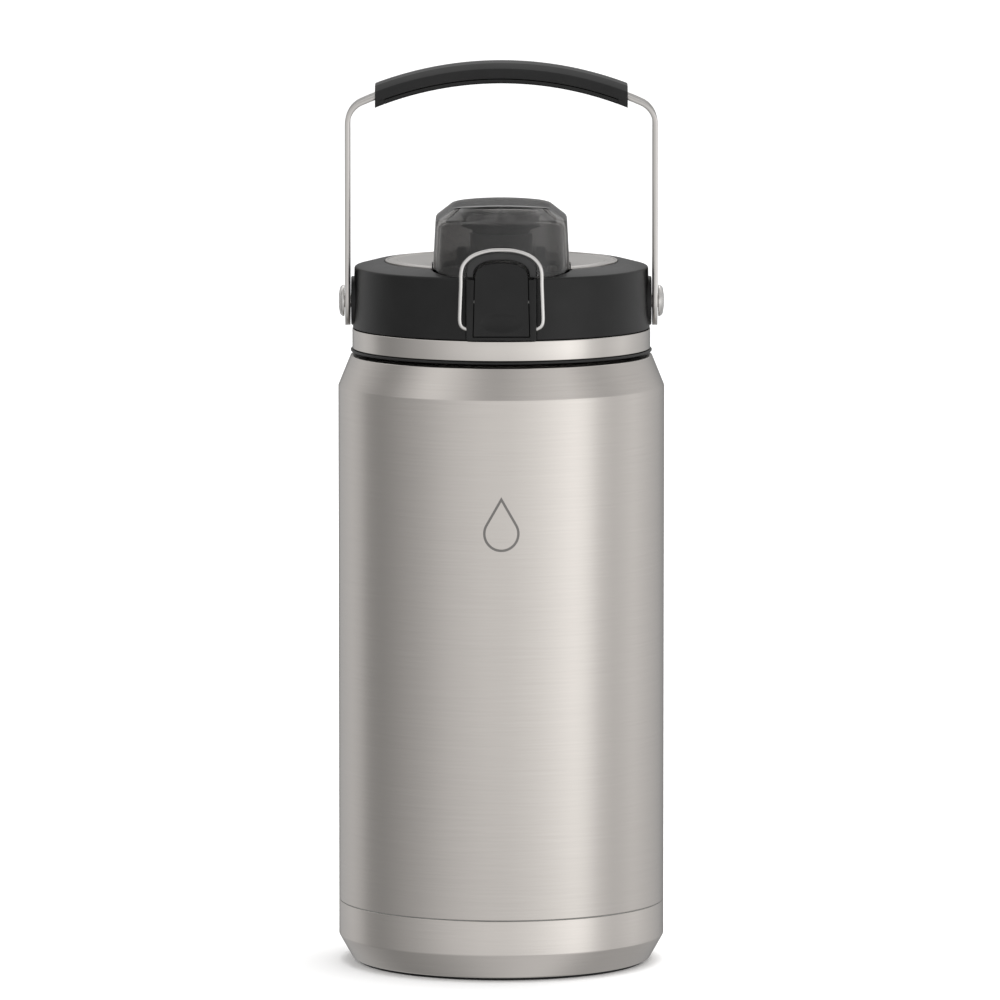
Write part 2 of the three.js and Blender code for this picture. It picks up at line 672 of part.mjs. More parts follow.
/** The dark arch let into the cap's front wall, round the head of the button. */
function capFrame() {
  const rim = arch(FRAME_HALF_WIDTH, FRAME_HALF_WIDTH, CAP_BOTTOM, FRAME_SHOULDER, FRAME_TOP);
  const frame = slabY(rim, FRAME_FRONT_Y, FRAME_BACK_Y);
  const half = BUTTON_HALF_WIDTH.top + WINDOW.margin;
  const opening = arch(half, half, CAP_BOTTOM - 2, WINDOW.shoulder, WINDOW.top);
  return carve(frame, { cuts: [slabY(opening, FRAME_FRONT_Y - 2, FRAME_BACK_Y + 2)] });
}

/** The soft funnel under the roof, whose plug closes the spout. */
function spoutSeal() {
  const top = CAP_TOP - CAP_WALL - 1.3;
  return turned([
    [0, SPOUT_TOP - SEAL.depth],
    [SEAL.plug - 1.1, SPOUT_TOP - SEAL.depth],
    [SEAL.plug, SPOUT_TOP - SPOUT_LIP],
    [SEAL.plug + 1, SPOUT_TOP + GAP],
    [SEAL.brim, SPOUT_TOP + SEAL.brimRise],
    [SEAL.brim, top],
    [0, top],
  ], TUBE_SIDES).translate(0, SPOUT_Y, 0);
}

function hingeSpring() {
  const length = 6.4;
  const coil = wire(new Coil(2, length, 5), 0.35, 50, 4);
  return coil.rotateY(Math.PI / 2).translate(-length / 2, 0, HINGE_Z);
}

const cap = new THREE.Group();
place(cap, "cap_shell", capShell(), smoke);
place(cap, "cap_frame", capFrame(), blackPlastic);
place(cap, "spout_seal", spoutSeal(), silicone);
place(lid, "cap_hinge_pin", rodX(HINGE_PIN_RADIUS, -16.8, 16.8, 0, HINGE_Z, 16), plainSteel);
place(lid, "cap_hinge_spring", hingeSpring(), plainSteel);

// ---------------------------------------------------------------- latch

/** Depth of the housing's leaning front at a height. */
function housingFrontAt(z) {
  const share = (z - HOUSING_BOTTOM) / (HOUSING_TOP - HOUSING_BOTTOM);
  return THREE.MathUtils.lerp(HOUSING_FRONT.bottom, HOUSING_FRONT.top, share);
}

/** The space between the latch's leaning face, set back by an inset, and an upright plane. */
function besideFace(inset, plane) {
  const low = HOUSING_BOTTOM - CAP_CUT_MARGIN;
  const high = BUTTON_TOP + CAP_CUT_MARGIN;
  const side = new THREE.Shape();
  side.moveTo(plane, low);
  side.lineTo(housingFrontAt(low) + inset, low);
  side.lineTo(housingFrontAt(high) + inset, high);
  side.lineTo(plane, high);
  side.closePath();
  return slabX(side, -30, 30);
}

function latchHousing() {
  const BACK_WALL = 1;
  const half = HOUSING_HALF_WIDTH;
  const outer = block([-half, AHEAD_Y, HOUSING_BOTTOM], [half, HOUSING_BACK_Y, HOUSING_TOP]);
  const slot = new THREE.Shape();
  slot.moveTo(-BUTTON_HALF_WIDTH.bottom - GAP, HOUSING_BOTTOM + 1.2);
  slot.lineTo(BUTTON_HALF_WIDTH.bottom + GAP, HOUSING_BOTTOM + 1.2);
  slot.lineTo(BUTTON_HALF_WIDTH.top + GAP, HOUSING_TOP + 1);
  slot.lineTo(-BUTTON_HALF_WIDTH.top - GAP, HOUSING_TOP + 1);
  slot.closePath();
  const pocket = slabY(slot, AHEAD_Y - 3, HOUSING_BACK_Y - BACK_WALL);
  const pinHole = rodX(BUTTON_PIN_RADIUS + GAP, -12.3, 12.3, BUTTON_PIVOT.y, BUTTON_PIVOT.z, 16);
  const wireHoles = [-1, 1].map((s) => {
    return rodX(WIRE_RADIUS + 0.35, s * 11.2, s * 14, WIRE_PIVOT.y, WIRE_PIVOT.z, 16);
  });
  return carve(outer, { cuts: [besideFace(0, AHEAD_Y - 3), pocket, pinHole, ...wireHoles] });
}

function button() {
  const { bottom, top } = BUTTON_HALF_WIDTH;
  const outline = arch(bottom, top, BUTTON_BOTTOM, BUTTON_SHOULDER, BUTTON_TOP);
  const face = slabY(outline, AHEAD_Y, HOUSING_BACK_Y);
  const frontSet = 0.2;
  const dish = new THREE.SphereGeometry(DISH.ball, 32, 24).scale(0.32, 1, 0.2);
  dish.translate(0, housingFrontAt(DISH.z) - DISH.ball + DISH.depth, DISH.z);
  const lugs = [-1, 1].map((s) => {
    return rodX(LUG.radius, s * LUG.from, s * LUG.to, BUTTON_PIVOT.y, BUTTON_PIVOT.z, 20);
  });
  const pinBore = rodX(BUTTON_PIN_RADIUS + GAP, -20, 20, BUTTON_PIVOT.y, BUTTON_PIVOT.z, 16);
  const ahead = besideFace(frontSet, AHEAD_Y - 3);
  const behind = besideFace(frontSet + BUTTON_THICKNESS, BEHIND_Y);
  const plate = carve(face, { cuts: [ahead, behind, dish] });
  return carve(plate, { joins: lugs, cuts: [pinBore] });
}

/** The coil that pushes the button's foot out, drawn pressed. */
function buttonSpring() {
  const length = 2.4;
  const coil = wire(new Coil(2.3, length, 3), 0.28, 30, 4);
  const backWallFace = HOUSING_BACK_Y - 1;
  return coil.rotateX(Math.PI / 2).translate(0, backWallFace - 0.6, DISH.z);
}

/** The lock wire's centreline, from one pivot end round over the arch to the other. */
function lockWirePath() {
  const LEG = { foot: 15, top: 14.6 };
  const BEND = 3;
  const { y, z } = WIRE_PIVOT;
  const lean = (height) => THREE.MathUtils.lerp(y, WIRE_TOP_Y, (height - z) / (WIRE_TOP - z));
  const half = [
    [11.6, z],
    [LEG.foot - BEND, z],
    [LEG.foot - BEND * 0.29, z + BEND * 0.29],
    [LEG.foot, z + BEND],
    [LEG.foot - 0.1, 248],
    [LEG.top + 0.05, 255],
    [LEG.top - 0.1, 260],
    [13.3, 263.2],
    [10.2, 265.9],
    [5.2, 267.6],
  ];
  const side = (s) => half.map(([px, pz]) => new THREE.Vector3(s * px, lean(pz), pz));
  const crown = new THREE.Vector3(0, WIRE_TOP_Y, WIRE_TOP);
  return new THREE.CatmullRomCurve3([...side(-1), crown, ...side(1).reverse()], false, "centripetal");
}

place(lid, "latch_housing", latchHousing(), blackPlastic);
place(lid, "button_pin", rodX(BUTTON_PIN_RADIUS, -12, 12, BUTTON_PIVOT.y, BUTTON_PIVOT.z, 16), plainSteel);
place(lid, "button_spring", buttonSpring(), plainSteel);
place(lid, "release_button", button(), blackPlastic);
place(lid, "lock_wire", wire(lockWirePath(), WIRE_RADIUS, 48), plainSteel);
lid.add(cap);

// ---------------------------------------------------------------- handle

/** Height where the strap's upright leg runs into its bend. */
function legTop() {
  const across = STRAP_OUTER_X - STRAP_BEND;
  return ARC_CENTRE_Z + Math.sqrt((STRAP_ARC_RADIUS - STRAP_BEND) ** 2 - across ** 2);
}

/** The strap's outline from the front: legs, bends and the long arc, as a band of one thickness. */
function strapOutline() {
  const bendX = STRAP_OUTER_X - STRAP_BEND;
  const bendZ = legTop();
  const meet = Math.atan2(bendZ - ARC_CENTRE_Z, bendX);
  const foot = PIVOT_Z - STRAP_WIDTH;
  const t = STRAP_THICKNESS;
  const band = new THREE.Shape();
  band.moveTo(STRAP_OUTER_X, foot);
  band.absarc(bendX, bendZ, STRAP_BEND, 0, meet, false);
  band.absarc(0, ARC_CENTRE_Z, STRAP_ARC_RADIUS, meet, Math.PI - meet, false);
  band.absarc(-bendX, bendZ, STRAP_BEND, Math.PI - meet, Math.PI, false);
  band.lineTo(-STRAP_OUTER_X, foot);
  band.lineTo(-STRAP_OUTER_X + t, foot);
  band.absarc(-bendX, bendZ, STRAP_BEND - t, Math.PI, Math.PI - meet, true);
  band.absarc(0, ARC_CENTRE_Z, STRAP_ARC_RADIUS - t, Math.PI - meet, meet, true);
  band.absarc(bendX, bendZ, STRAP_BEND - t, meet, 0, true);
  band.lineTo(STRAP_OUTER_X - t, foot);
  band.closePath();
  return band;
}

function handleStrap() {
  const half = STRAP_WIDTH / 2;
  const band = slabY(strapOutline(), -half, half, 12);
  const roundFoot = rodX(half + 0.3, -80, 80, 0, PIVOT_Z, 36);
  const above = block([-80, -half, PIVOT_Z], [80, half, 400]);
  const silhouette = toGeometry(toSolid(roundFoot).add(toSolid(above)));
  const holes = rodX(BUSHING_RADIUS + GAP, -80, 80, 0, PIVOT_Z, 24);
  return carve(common(band, silhouette), { cuts: [holes] });
}

/** The grip's cross-section drawn as radius and depth, then swept round the strap's arc. */
function gripSweep(section, halfAngle, steps) {
  const settings = { steps, depth: 1, bevelEnabled: false, curveSegments: 4 };
  const bar = new THREE.ExtrudeGeometry(section, settings);
  return reshape(bar, (p) => {
    const angle = Math.PI / 2 - halfAngle + 2 * halfAngle * p.z;
    p.set(p.x * Math.cos(angle), p.y, ARC_CENTRE_Z + p.x * Math.sin(angle));
  });
}

/** A rectangle of radius by depth with its two outer edges rounded. */
function gripSection(inner, outer, halfDepth, round) {
  const section = new THREE.Shape();
  section.moveTo(inner, -halfDepth);
  section.lineTo(outer - round * 1.2, -halfDepth);
  section.quadraticCurveTo(outer - 0.3, -halfDepth + 0.4, outer, -halfDepth + round * 2.4);
  section.lineTo(outer, halfDepth - round * 2.4);
  section.quadraticCurveTo(outer - 0.3, halfDepth - 0.4, outer - round * 1.2, halfDepth);
  section.lineTo(inner, halfDepth);
  section.closePath();
  return section;
}

/** A slab that keeps only what lies within a half length of the middle. */
function between(halfLength) {
  return block([-halfLength, -30, 280], [halfLength, 30, 360]);
}

function gripUpper() {
  const angle = GRIP_ANGLE * DEG;
  const past = angle + 2 * DEG;
  const form = gripSection(GRIP_UNDER_RADIUS, GRIP_RADIUS, GRIP_HALF_DEPTH, GRIP_ROUND);
  const body = gripSweep(form, angle, GRIP_STEPS);
  const slotHalf = STRAP_WIDTH / 2 + GAP;
  const strapIn = STRAP_ARC_RADIUS - STRAP_THICKNESS - GAP;
  const strapOut = STRAP_ARC_RADIUS + GAP;
  const slot = gripSweep(gripSection(strapIn, strapOut, slotHalf, SQUARE), past, GRIP_STEPS);
  const trayTop = GRIP_SPLIT_RADIUS + GAP;
  const tray = gripSweep(gripSection(BELOW_GRIP, trayTop, 2 * GRIP_HALF_DEPTH, SQUARE), past, GRIP_STEPS);
  const channel = gripSweep(gripSection(BELOW_GRIP, strapOut - 0.4, slotHalf, SQUARE), past, GRIP_STEPS);
  const middle = between(GRIP_INSERT_HALF_LENGTH + GAP);
  return carve(common(body, between(GRIP_HALF_LENGTH)), {
    cuts: [slot, common(tray, middle), common(channel, middle)],
  });
}

function gripLower() {
  const form = gripSection(GRIP_UNDER_RADIUS, GRIP_SPLIT_RADIUS, GRIP_HALF_DEPTH - 0.2, 0.2);
  const plate = gripSweep(form, GRIP_ANGLE * DEG, GRIP_STEPS);
  return common(plate, between(GRIP_INSERT_HALF_LENGTH));
}

const handle = new THREE.Group();
place(handle, "handle_strap", handleStrap(), plainSteel);
place(handle, "grip_upper", gripUpper(), softGrip);
place(handle, "grip_lower", gripLower(), softGrip);

jug.add(vessel, lid, handle);

export default jug;
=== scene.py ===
"""Two-litre vacuum water jug: a brushed steel vessel, a screw-on lid with a flip cap, and a strap handle.

Lengths are written in millimetres and turned into metres by MM. The front of the jug faces -Y, and +Z is
up. Sizes that the CAD nodes fix are read from the frame; the rest are fields of the classes.
"""

from __future__ import annotations

import json
import logging
import math
from dataclasses import dataclass, field
from enum import Enum
from typing import Callable, Iterable, Sequence

import bmesh
import bpy
from mathutils import Euler, Matrix, Vector

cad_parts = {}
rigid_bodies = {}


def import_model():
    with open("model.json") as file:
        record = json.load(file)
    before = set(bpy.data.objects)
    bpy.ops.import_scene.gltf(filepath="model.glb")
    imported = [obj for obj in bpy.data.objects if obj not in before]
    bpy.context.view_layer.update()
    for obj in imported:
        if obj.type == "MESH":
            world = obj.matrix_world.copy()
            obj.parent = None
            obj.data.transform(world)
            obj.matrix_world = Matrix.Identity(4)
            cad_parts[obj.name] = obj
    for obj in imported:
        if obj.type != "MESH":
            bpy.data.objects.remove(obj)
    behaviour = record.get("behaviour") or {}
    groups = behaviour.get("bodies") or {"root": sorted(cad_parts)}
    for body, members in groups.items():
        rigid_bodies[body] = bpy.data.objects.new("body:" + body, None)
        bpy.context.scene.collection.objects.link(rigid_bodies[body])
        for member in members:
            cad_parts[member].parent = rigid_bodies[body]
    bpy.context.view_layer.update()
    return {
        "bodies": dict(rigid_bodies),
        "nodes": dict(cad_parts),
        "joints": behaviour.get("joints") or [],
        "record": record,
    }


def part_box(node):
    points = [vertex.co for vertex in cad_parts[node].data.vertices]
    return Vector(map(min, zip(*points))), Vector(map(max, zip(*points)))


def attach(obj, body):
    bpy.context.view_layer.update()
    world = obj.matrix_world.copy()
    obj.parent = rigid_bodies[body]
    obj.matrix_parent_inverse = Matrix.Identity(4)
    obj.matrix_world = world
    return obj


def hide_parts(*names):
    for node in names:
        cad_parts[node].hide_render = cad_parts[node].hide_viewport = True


MM = 0.001
FINE = 192  # steps round the vessel and the lid
MEDIUM = 96  # steps round small turned pieces
MERGE = 2e-7  # metres within which two vertices are one

Ring = tuple[list[bmesh.types.BMVert], list[bmesh.types.BMEdge]]  # a closed row of vertices and its edges

log = logging.getLogger("jug")


class Body(Enum):
    """The rigid bodies of the frame that a piece can ride on."""

    VESSEL = "vessel"
    CARRIER = "lid_carrier"
    LID = "lid"
    CAP = "cap"
    BUTTON = "button"
    WIRE = "wire"
    HANDLE = "handle"


class Axis(Enum):
    """The direction in which a turned piece's axis is laid."""

    UP = "up"
    RIGHT = "right"
    LEFT = "left"


@dataclass(frozen=True)
class Corner:
    """One corner of an outline, with the fillet that rounds it.

    Attributes:
        r: Distance from the axis, in millimetres.
        z: Height, in millimetres.
        fillet: Radius of the rounding, in millimetres.
    """

    r: float
    z: float
    fillet: float = 0.0


def measured(node: str) -> tuple[Vector, Vector]:
    """Reads where a CAD node lies.

    Args:
        node: The node's name.

    Returns:
        Its lowest and its highest corner, in millimetres.
    """
    low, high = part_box(node)
    return Vector([round(v / MM, 3) for v in low]), Vector([round(v / MM, 3) for v in high])


def middle_of(node: str) -> Vector:
    """The middle of a CAD node's box, in millimetres."""
    low, high = measured(node)
    return Vector([round((a + b) / 2, 3) for a, b in zip(low, high)])


# ------------------------------------------------------------------ mesh making


def rounded(corners: Sequence[Corner], closed: bool, steps: int = 5) -> list[Vector]:
    """Replaces each filleted corner of an outline with a short arc.

    Args:
        corners: The outline's corners in order.
        closed: Whether the last corner joins the first.
        steps: Steps in each arc.

    Returns:
        The outline's points as (radius, height), in millimetres.
    """
    points: list[Vector] = []
    count = len(corners)
    for index, corner in enumerate(corners):
        here = Vector((corner.r, corner.z))
        at_end = not closed and index in (0, count - 1)
        if corner.fillet <= 0 or at_end:
            points.append(here)
            continue
        before = corners[index - 1]
        after = corners[(index + 1) % count]
        back = Vector((before.r, before.z)) - here
        ahead = Vector((after.r, after.z)) - here
        half = back.angle(ahead) / 2
        reach = min(corner.fillet / math.tan(half), 0.48 * back.length, 0.48 * ahead.length)
        radius = reach * math.tan(half)
        middle = (back.normalized() + ahead.normalized()).normalized()
        centre = here + middle * (radius / math.sin(half))
        start = here + back.normalized() * reach - centre
        finish = here + ahead.normalized() * reach - centre
        sweep = start.angle_signed(finish)
        for step in range(steps + 1):
            arm = start.copy()
            arm.rotate(Matrix.Rotation(-sweep * step / steps, 2))
            points.append(centre + arm)
    return points


def tidy(bm: bmesh.types.BMesh) -> bmesh.types.BMesh:
    """Merges doubles and points every face outwards.

    Args:
        bm: The mesh, changed in place.

    Returns:
        The same mesh.
    """
    bmesh.ops.remove_doubles(bm, verts=bm.verts[:], dist=MERGE)
    bmesh.ops.recalc_face_normals(bm, faces=bm.faces[:])
    return bm


def turned(
    corners: Sequence[Corner],
    closed: bool = False,
    segments: int = FINE,
    centre: tuple[float, float, float] = (0.0, 0.0, 0.0),
    axis: Axis = Axis.UP,
) -> bmesh.types.BMesh:
    """Spins an outline round its axis.

    Args:
        corners: The outline, on the axis at both ends or closed on itself.
        closed: Whether the outline closes on itself, as a ring's does.
        segments: Steps round the axis.
        centre: Where the axis stands, in millimetres.
        axis: Which way the axis points.

    Returns:
        The turned mesh.
    """
    bm = bmesh.new()
    points = rounded(corners, closed)
    verts = [bm.verts.new((p.x * MM, 0, p.y * MM)) for p in points]
    pairs = list(zip(verts, verts[1:]))
    if closed:
        pairs.append((verts[-1], verts[0]))
    edges = [bm.edges.new(pair) for pair in pairs]
    bmesh.ops.spin(
        bm,
        geom=verts + edges,
        axis=(0, 0, 1),
        cent=(0, 0, 0),
        angle=2 * math.pi,
        steps=segments,
        use_merge=True,
    )
    tidy(bm)
    lay = {
        Axis.UP: Matrix.Identity(3),
        Axis.RIGHT: Matrix.Rotation(math.pi / 2, 3, "Y"),
        Axis.LEFT: Matrix.Rotation(-math.pi / 2, 3, "Y"),
    }[axis]
    bmesh.ops.rotate(bm, verts=bm.verts[:], cent=(0, 0, 0), matrix=lay)
    bmesh.ops.translate(bm, verts=bm.verts[:], vec=Vector(centre) * MM)
    return bm


def block(low: Sequence[float], high: Sequence[float], round_off: float = 0.0) -> bmesh.types.BMesh:
    """A block between two corners, with its edges rounded.

    Args:
        low: Lowest corner, in millimetres.
        high: Highest corner, in millimetres.
        round_off: Radius on every edge, in millimetres.

    Returns:
        The block.
    """
    bm = bmesh.new()
    bmesh.ops.create_cube(bm, size=MM)
    size = [b - a for a, b in zip(low, high)]
    middle = [(a + b) / 2 * MM for a, b in zip(low, high)]
    bmesh.ops.scale(bm, vec=size, verts=bm.verts[:])
    bmesh.ops.translate(bm, vec=middle, verts=bm.verts[:])
    if round_off:
        soften(bm, round_off)
    return bm


def soften(bm: bmesh.types.BMesh, radius: float, angle: float = 35.0, segments: int = 3) -> None:
    """Bevels every edge that is sharper than an angle.

    Args:
        bm: The mesh, changed in place.
        radius: Width of the bevel, in millimetres.
        angle: Sharpness from which an edge is bevelled, in degrees.
        segments: Steps across the bevel.
    """
    sharp = [e for e in bm.edges if len(e.link_faces) == 2 and e.calc_face_angle() > math.radians(angle)]
    bmesh.ops.bevel(
        bm, geom=sharp, offset=radius * MM, segments=segments, profile=0.5, affect="EDGES", material=-1,
        clamp_overlap=True,
    )


def plate(
    outline: Sequence[tuple[float, float]], front: float, back: float, round_off: float = 0.0
) -> bmesh.types.BMesh:
    """An outline in X and Z, extruded along Y.

    Args:
        outline: The corners as (x, z), in millimetres.
        front: Depth of the front face, in millimetres.
        back: Depth of the back face, in millimetres.
        round_off: Radius on its sharp edges, in millimetres.

    Returns:
        The plate.
    """
    bm = bmesh.new()
    verts = [bm.verts.new((x * MM, front * MM, z * MM)) for x, z in outline]
    face = bm.faces.new(verts)
    behind = bmesh.ops.extrude_face_region(bm, geom=[face], use_keep_orig=True)
    moved = [v for v in behind["geom"] if isinstance(v, bmesh.types.BMVert)]
    bmesh.ops.translate(bm, vec=(0, (back - front) * MM, 0), verts=moved)
    tidy(bm)
    if round_off:
        soften(bm, round_off)
    return bm


def grown(bm: bmesh.types.BMesh, last: Ring, points: Sequence[Vector] = ()) -> Ring:
    """Extrudes a ring of edges and lays the new ring on its points.

    Args:
        bm: The mesh that holds the ring.
        last: The ring to extrude.
        points: Where the new vertices go, in millimetres; without them they stay where the old ones are.

    Returns:
        The new ring, in the order of the old one.
    """
    items = bmesh.ops.extrude_edge_only(bm, edges=last[1])["geom"]
    places = {tuple(item.co): item for item in items if isinstance(item, bmesh.types.BMVert)}
    fresh = [places[tuple(vert.co)] for vert in last[0]]
    for vert, point in zip(fresh, points):
        vert.co = point * MM
    return fresh, [item for item in items if isinstance(item, bmesh.types.BMEdge)]


def swept(path: Sequence[Vector], radius: float, sides: int = 20) -> bmesh.types.BMesh:
    """A round wire along a path.

    Args:
        path: The centreline's points, in millimetres.
        radius: The wire's radius, in millimetres.
        sides: Steps round the wire.

    Returns:
        The wire, with its ends closed.
    """
    bm = bmesh.new()
    bmesh.ops.create_circle(bm, cap_ends=False, segments=sides, radius=radius * MM)
    ring = bm.verts[:]
    edges = bm.edges[:]
    tangent = (path[1] - path[0]).normalized()
    turn = Vector((0, 0, 1)).rotation_difference(tangent).to_matrix()
    bmesh.ops.transform(bm, matrix=Matrix.Translation(path[0] * MM) @ turn.to_4x4(), verts=ring)
    for index in range(1, len(path)):
        ring, edges = grown(bm, (ring, edges))
        ahead = path[min(index + 1, len(path) - 1)] - path[index - 1]
        bend = tangent.rotation_difference(ahead.normalized()).to_matrix().to_4x4()
        tangent = ahead.normalized()
        move = Matrix.Translation(path[index] * MM) @ bend @ Matrix.Translation(-path[index - 1] * MM)
        bmesh.ops.transform(bm, matrix=move, verts=ring)
    bmesh.ops.holes_fill(bm, edges=[e for e in bm.edges if e.is_boundary], sides=0)
    return tidy(bm)


def smooth_path(knots: Sequence[Vector], per_span: int = 8) -> list[Vector]:
    """A smooth curve through a few points.

    Args:
        knots: The points that the curve passes through.
        per_span: Steps between two knots.

    Returns:
        The curve's points.
    """
    ends = [knots[0] * 2 - knots[1], *knots, knots[-1] * 2 - knots[-2]]
    points: list[Vector] = []
    for a, b, c, d in zip(ends, ends[1:], ends[2:], ends[3:]):
        for step in range(per_span):
            t = step / per_span
            pull = (c - a) * t + (a * 2 - b * 5 + c * 4 - d) * t**2 + (b * 3 - a - c * 3 + d) * t**3
            points.append(b + pull / 2)
    points.append(knots[-1])
    return points


def joined(parts: Iterable[bmesh.types.BMesh]) -> bmesh.types.BMesh:
    """Puts several meshes into one.

    Args:
        parts: The meshes, used up by the call.

    Returns:
        One mesh that holds them all.
    """
    whole = bmesh.new()
    for part in parts:
        mesh = bpy.data.meshes.new("part")
        part.to_mesh(mesh)
        part.free()
        whole.from_mesh(mesh)
        bpy.data.meshes.remove(mesh)
    return whole


def carved(base: bmesh.types.BMesh, tools: Sequence[bmesh.types.BMesh]) -> bmesh.types.BMesh:
    """Cuts shapes out of a mesh.

    Args:
        base: The mesh to cut, used up by the call.
        tools: The shapes to take away, used up by the call.

    Returns:
        What is left of the base.
    """
    scene = bpy.context.scene.collection
    blanks: list[bpy.types.Object] = []
    for index, shape in enumerate([base, *tools]):
        mesh = bpy.data.meshes.new(f"blank_{index}")
        shape.to_mesh(mesh)
        shape.free()
        blank = bpy.data.objects.new(f"blank_{index}", mesh)
        scene.objects.link(blank)
        blanks.append(blank)
    host = blanks[0]
    for tool in blanks[1:]:
        cut = host.modifiers.new("cut", "BOOLEAN")
        cut.operation = "DIFFERENCE"
        cut.solver = "EXACT"
        cut.object = tool
    graph = bpy.context.evaluated_depsgraph_get()
    result = bpy.data.meshes.new_from_object(host.evaluated_get(graph))
    bm = bmesh.new()
    bm.from_mesh(result)
    bpy.data.meshes.remove(result)
    for blank in blanks:
        mesh = blank.data
        bpy.data.objects.remove(blank)
        bpy.data.meshes.remove(mesh)
    bmesh.ops.remove_doubles(bm, verts=bm.verts[:], dist=MERGE)
    return bm


def shaped(bm: bmesh.types.BMesh, move: Callable[[Vector], Vector]) -> bmesh.types.BMesh:
    """Moves every vertex by a function of its place.

    Args:
        bm: The mesh, changed in place.
        move: Gives a vertex's new place from its old one, both in millimetres.

    Returns:
        The same mesh.
    """
    for vert in bm.verts:
        vert.co = move(vert.co / MM) * MM
    return bm


@dataclass
class Piece:
    """A finished mesh and how it joins the frame.

    Attributes:
        name: The piece's own name.
        mesh: Its mesh, used up when it is placed.
        material: Its finish.
        body: The body it rides on.
        slot: The record's material slot; not used.
        replaces: The CAD nodes that it stands for.
        crease: Angle from which an edge stays sharp, in degrees.
    """

    name: str
    mesh: bmesh.types.BMesh
    material: bpy.types.Material
    body: Body
    slot: str
    replaces: tuple[str, ...] = ()
    crease: float = 32.0

    def place(self) -> bpy.types.Object:
        """Links the piece to the scene and ties it to its body.

        Returns:
            The new object.
        """
        for face in self.mesh.faces:
            face.smooth = True
        for edge in self.mesh.edges:
            if len(edge.link_faces) == 2 and edge.calc_face_angle() > math.radians(self.crease):
                edge.smooth = False
        data = bpy.data.meshes.new(self.name)
        self.mesh.to_mesh(data)
        self.mesh.free()
        data.materials.append(self.material)
        piece = bpy.data.objects.new(self.name, data)
        bpy.context.scene.collection.objects.link(piece)
        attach(piece, self.body.value)
        if self.replaces:
            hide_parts(*self.replaces)
        log.info("%s: %d faces, on %s", self.name, len(data.polygons), self.body.value)
        return piece


def put(*pieces: Piece) -> None:
    """Places several pieces in order."""
    for piece in pieces:
        piece.place()


# ------------------------------------------------------------------ finishes


def new_group(name: str, inputs: dict[str, float], outputs: dict[str, str]) -> bpy.types.NodeTree:
    """Starts a shader node group with named sockets.

    Args:
        name: The group's name.
        inputs: Number inputs with their defaults; a Vector input called "Place" is always first.
        outputs: Output names with their socket types.

    Returns:
        The empty group, with its input and output nodes.
    """
    tree = bpy.data.node_groups.new(name, "ShaderNodeTree")
    tree.interface.new_socket("Place", in_out="INPUT", socket_type="NodeSocketVector")
    for label, value in inputs.items():
        socket = tree.interface.new_socket(label, in_out="INPUT", socket_type="NodeSocketFloat")
        socket.default_value = value
    for label, kind in outputs.items():
        tree.interface.new_socket(label, in_out="OUTPUT", socket_type=kind)
    tree.nodes.new("NodeGroupInput").name = "in"
    tree.nodes.new("NodeGroupOutput").name = "out"
    return tree


def math_node(tree: bpy.types.NodeTree, operation: str, *values: object) -> bpy.types.NodeSocket:
    """Adds a Math node.

    Args:
        tree: The tree to add it to.
        operation: The Math node's operation.
        *values: Numbers or output sockets for its inputs, in order.

    Returns:
        The node's output.
    """
    node = tree.nodes.new("ShaderNodeMath")
    node.operation = operation
    for socket, value in zip(node.inputs, values):
        if isinstance(value, bpy.types.NodeSocket):
            tree.links.new(value, socket)
        else:
            socket.default_value = value
    return node.outputs[0]


def noise(
    tree: bpy.types.NodeTree,
    place: bpy.types.NodeSocket,
    scale: float,
    detail: float = 3.0,
    rough: float = 0.5,
) -> bpy.types.NodeSocket:
    """Adds a Noise texture.

    Args:
        tree: The tree to add it to.
        place: The coordinates.
        scale: Size of the pattern: larger is finer.
        detail: Number of octaves.
        rough: How strong the fine octaves are.

    Returns:
        The noise's value, from 0 to 1.
    """
    node = tree.nodes.new("ShaderNodeTexNoise")
    tree.links.new(place, node.inputs["Vector"])
    node.inputs["Scale"].default_value = scale
    node.inputs["Detail"].default_value = detail
    node.inputs["Roughness"].default_value = rough
    return node.outputs["Fac"]


def stretched(
    tree: bpy.types.NodeTree, place: bpy.types.NodeSocket, scale: tuple[float, float, float]
) -> bpy.types.NodeSocket:
    """Scales coordinates differently along each axis.

    Args:
        tree: The tree to add the node to.
        place: The coordinates.
        scale: The factor for each axis.

    Returns:
        The scaled coordinates.
    """
    node = tree.nodes.new("ShaderNodeMapping")
    tree.links.new(place, node.inputs["Vector"])
    node.inputs["Scale"].default_value = scale
    return node.outputs["Vector"]


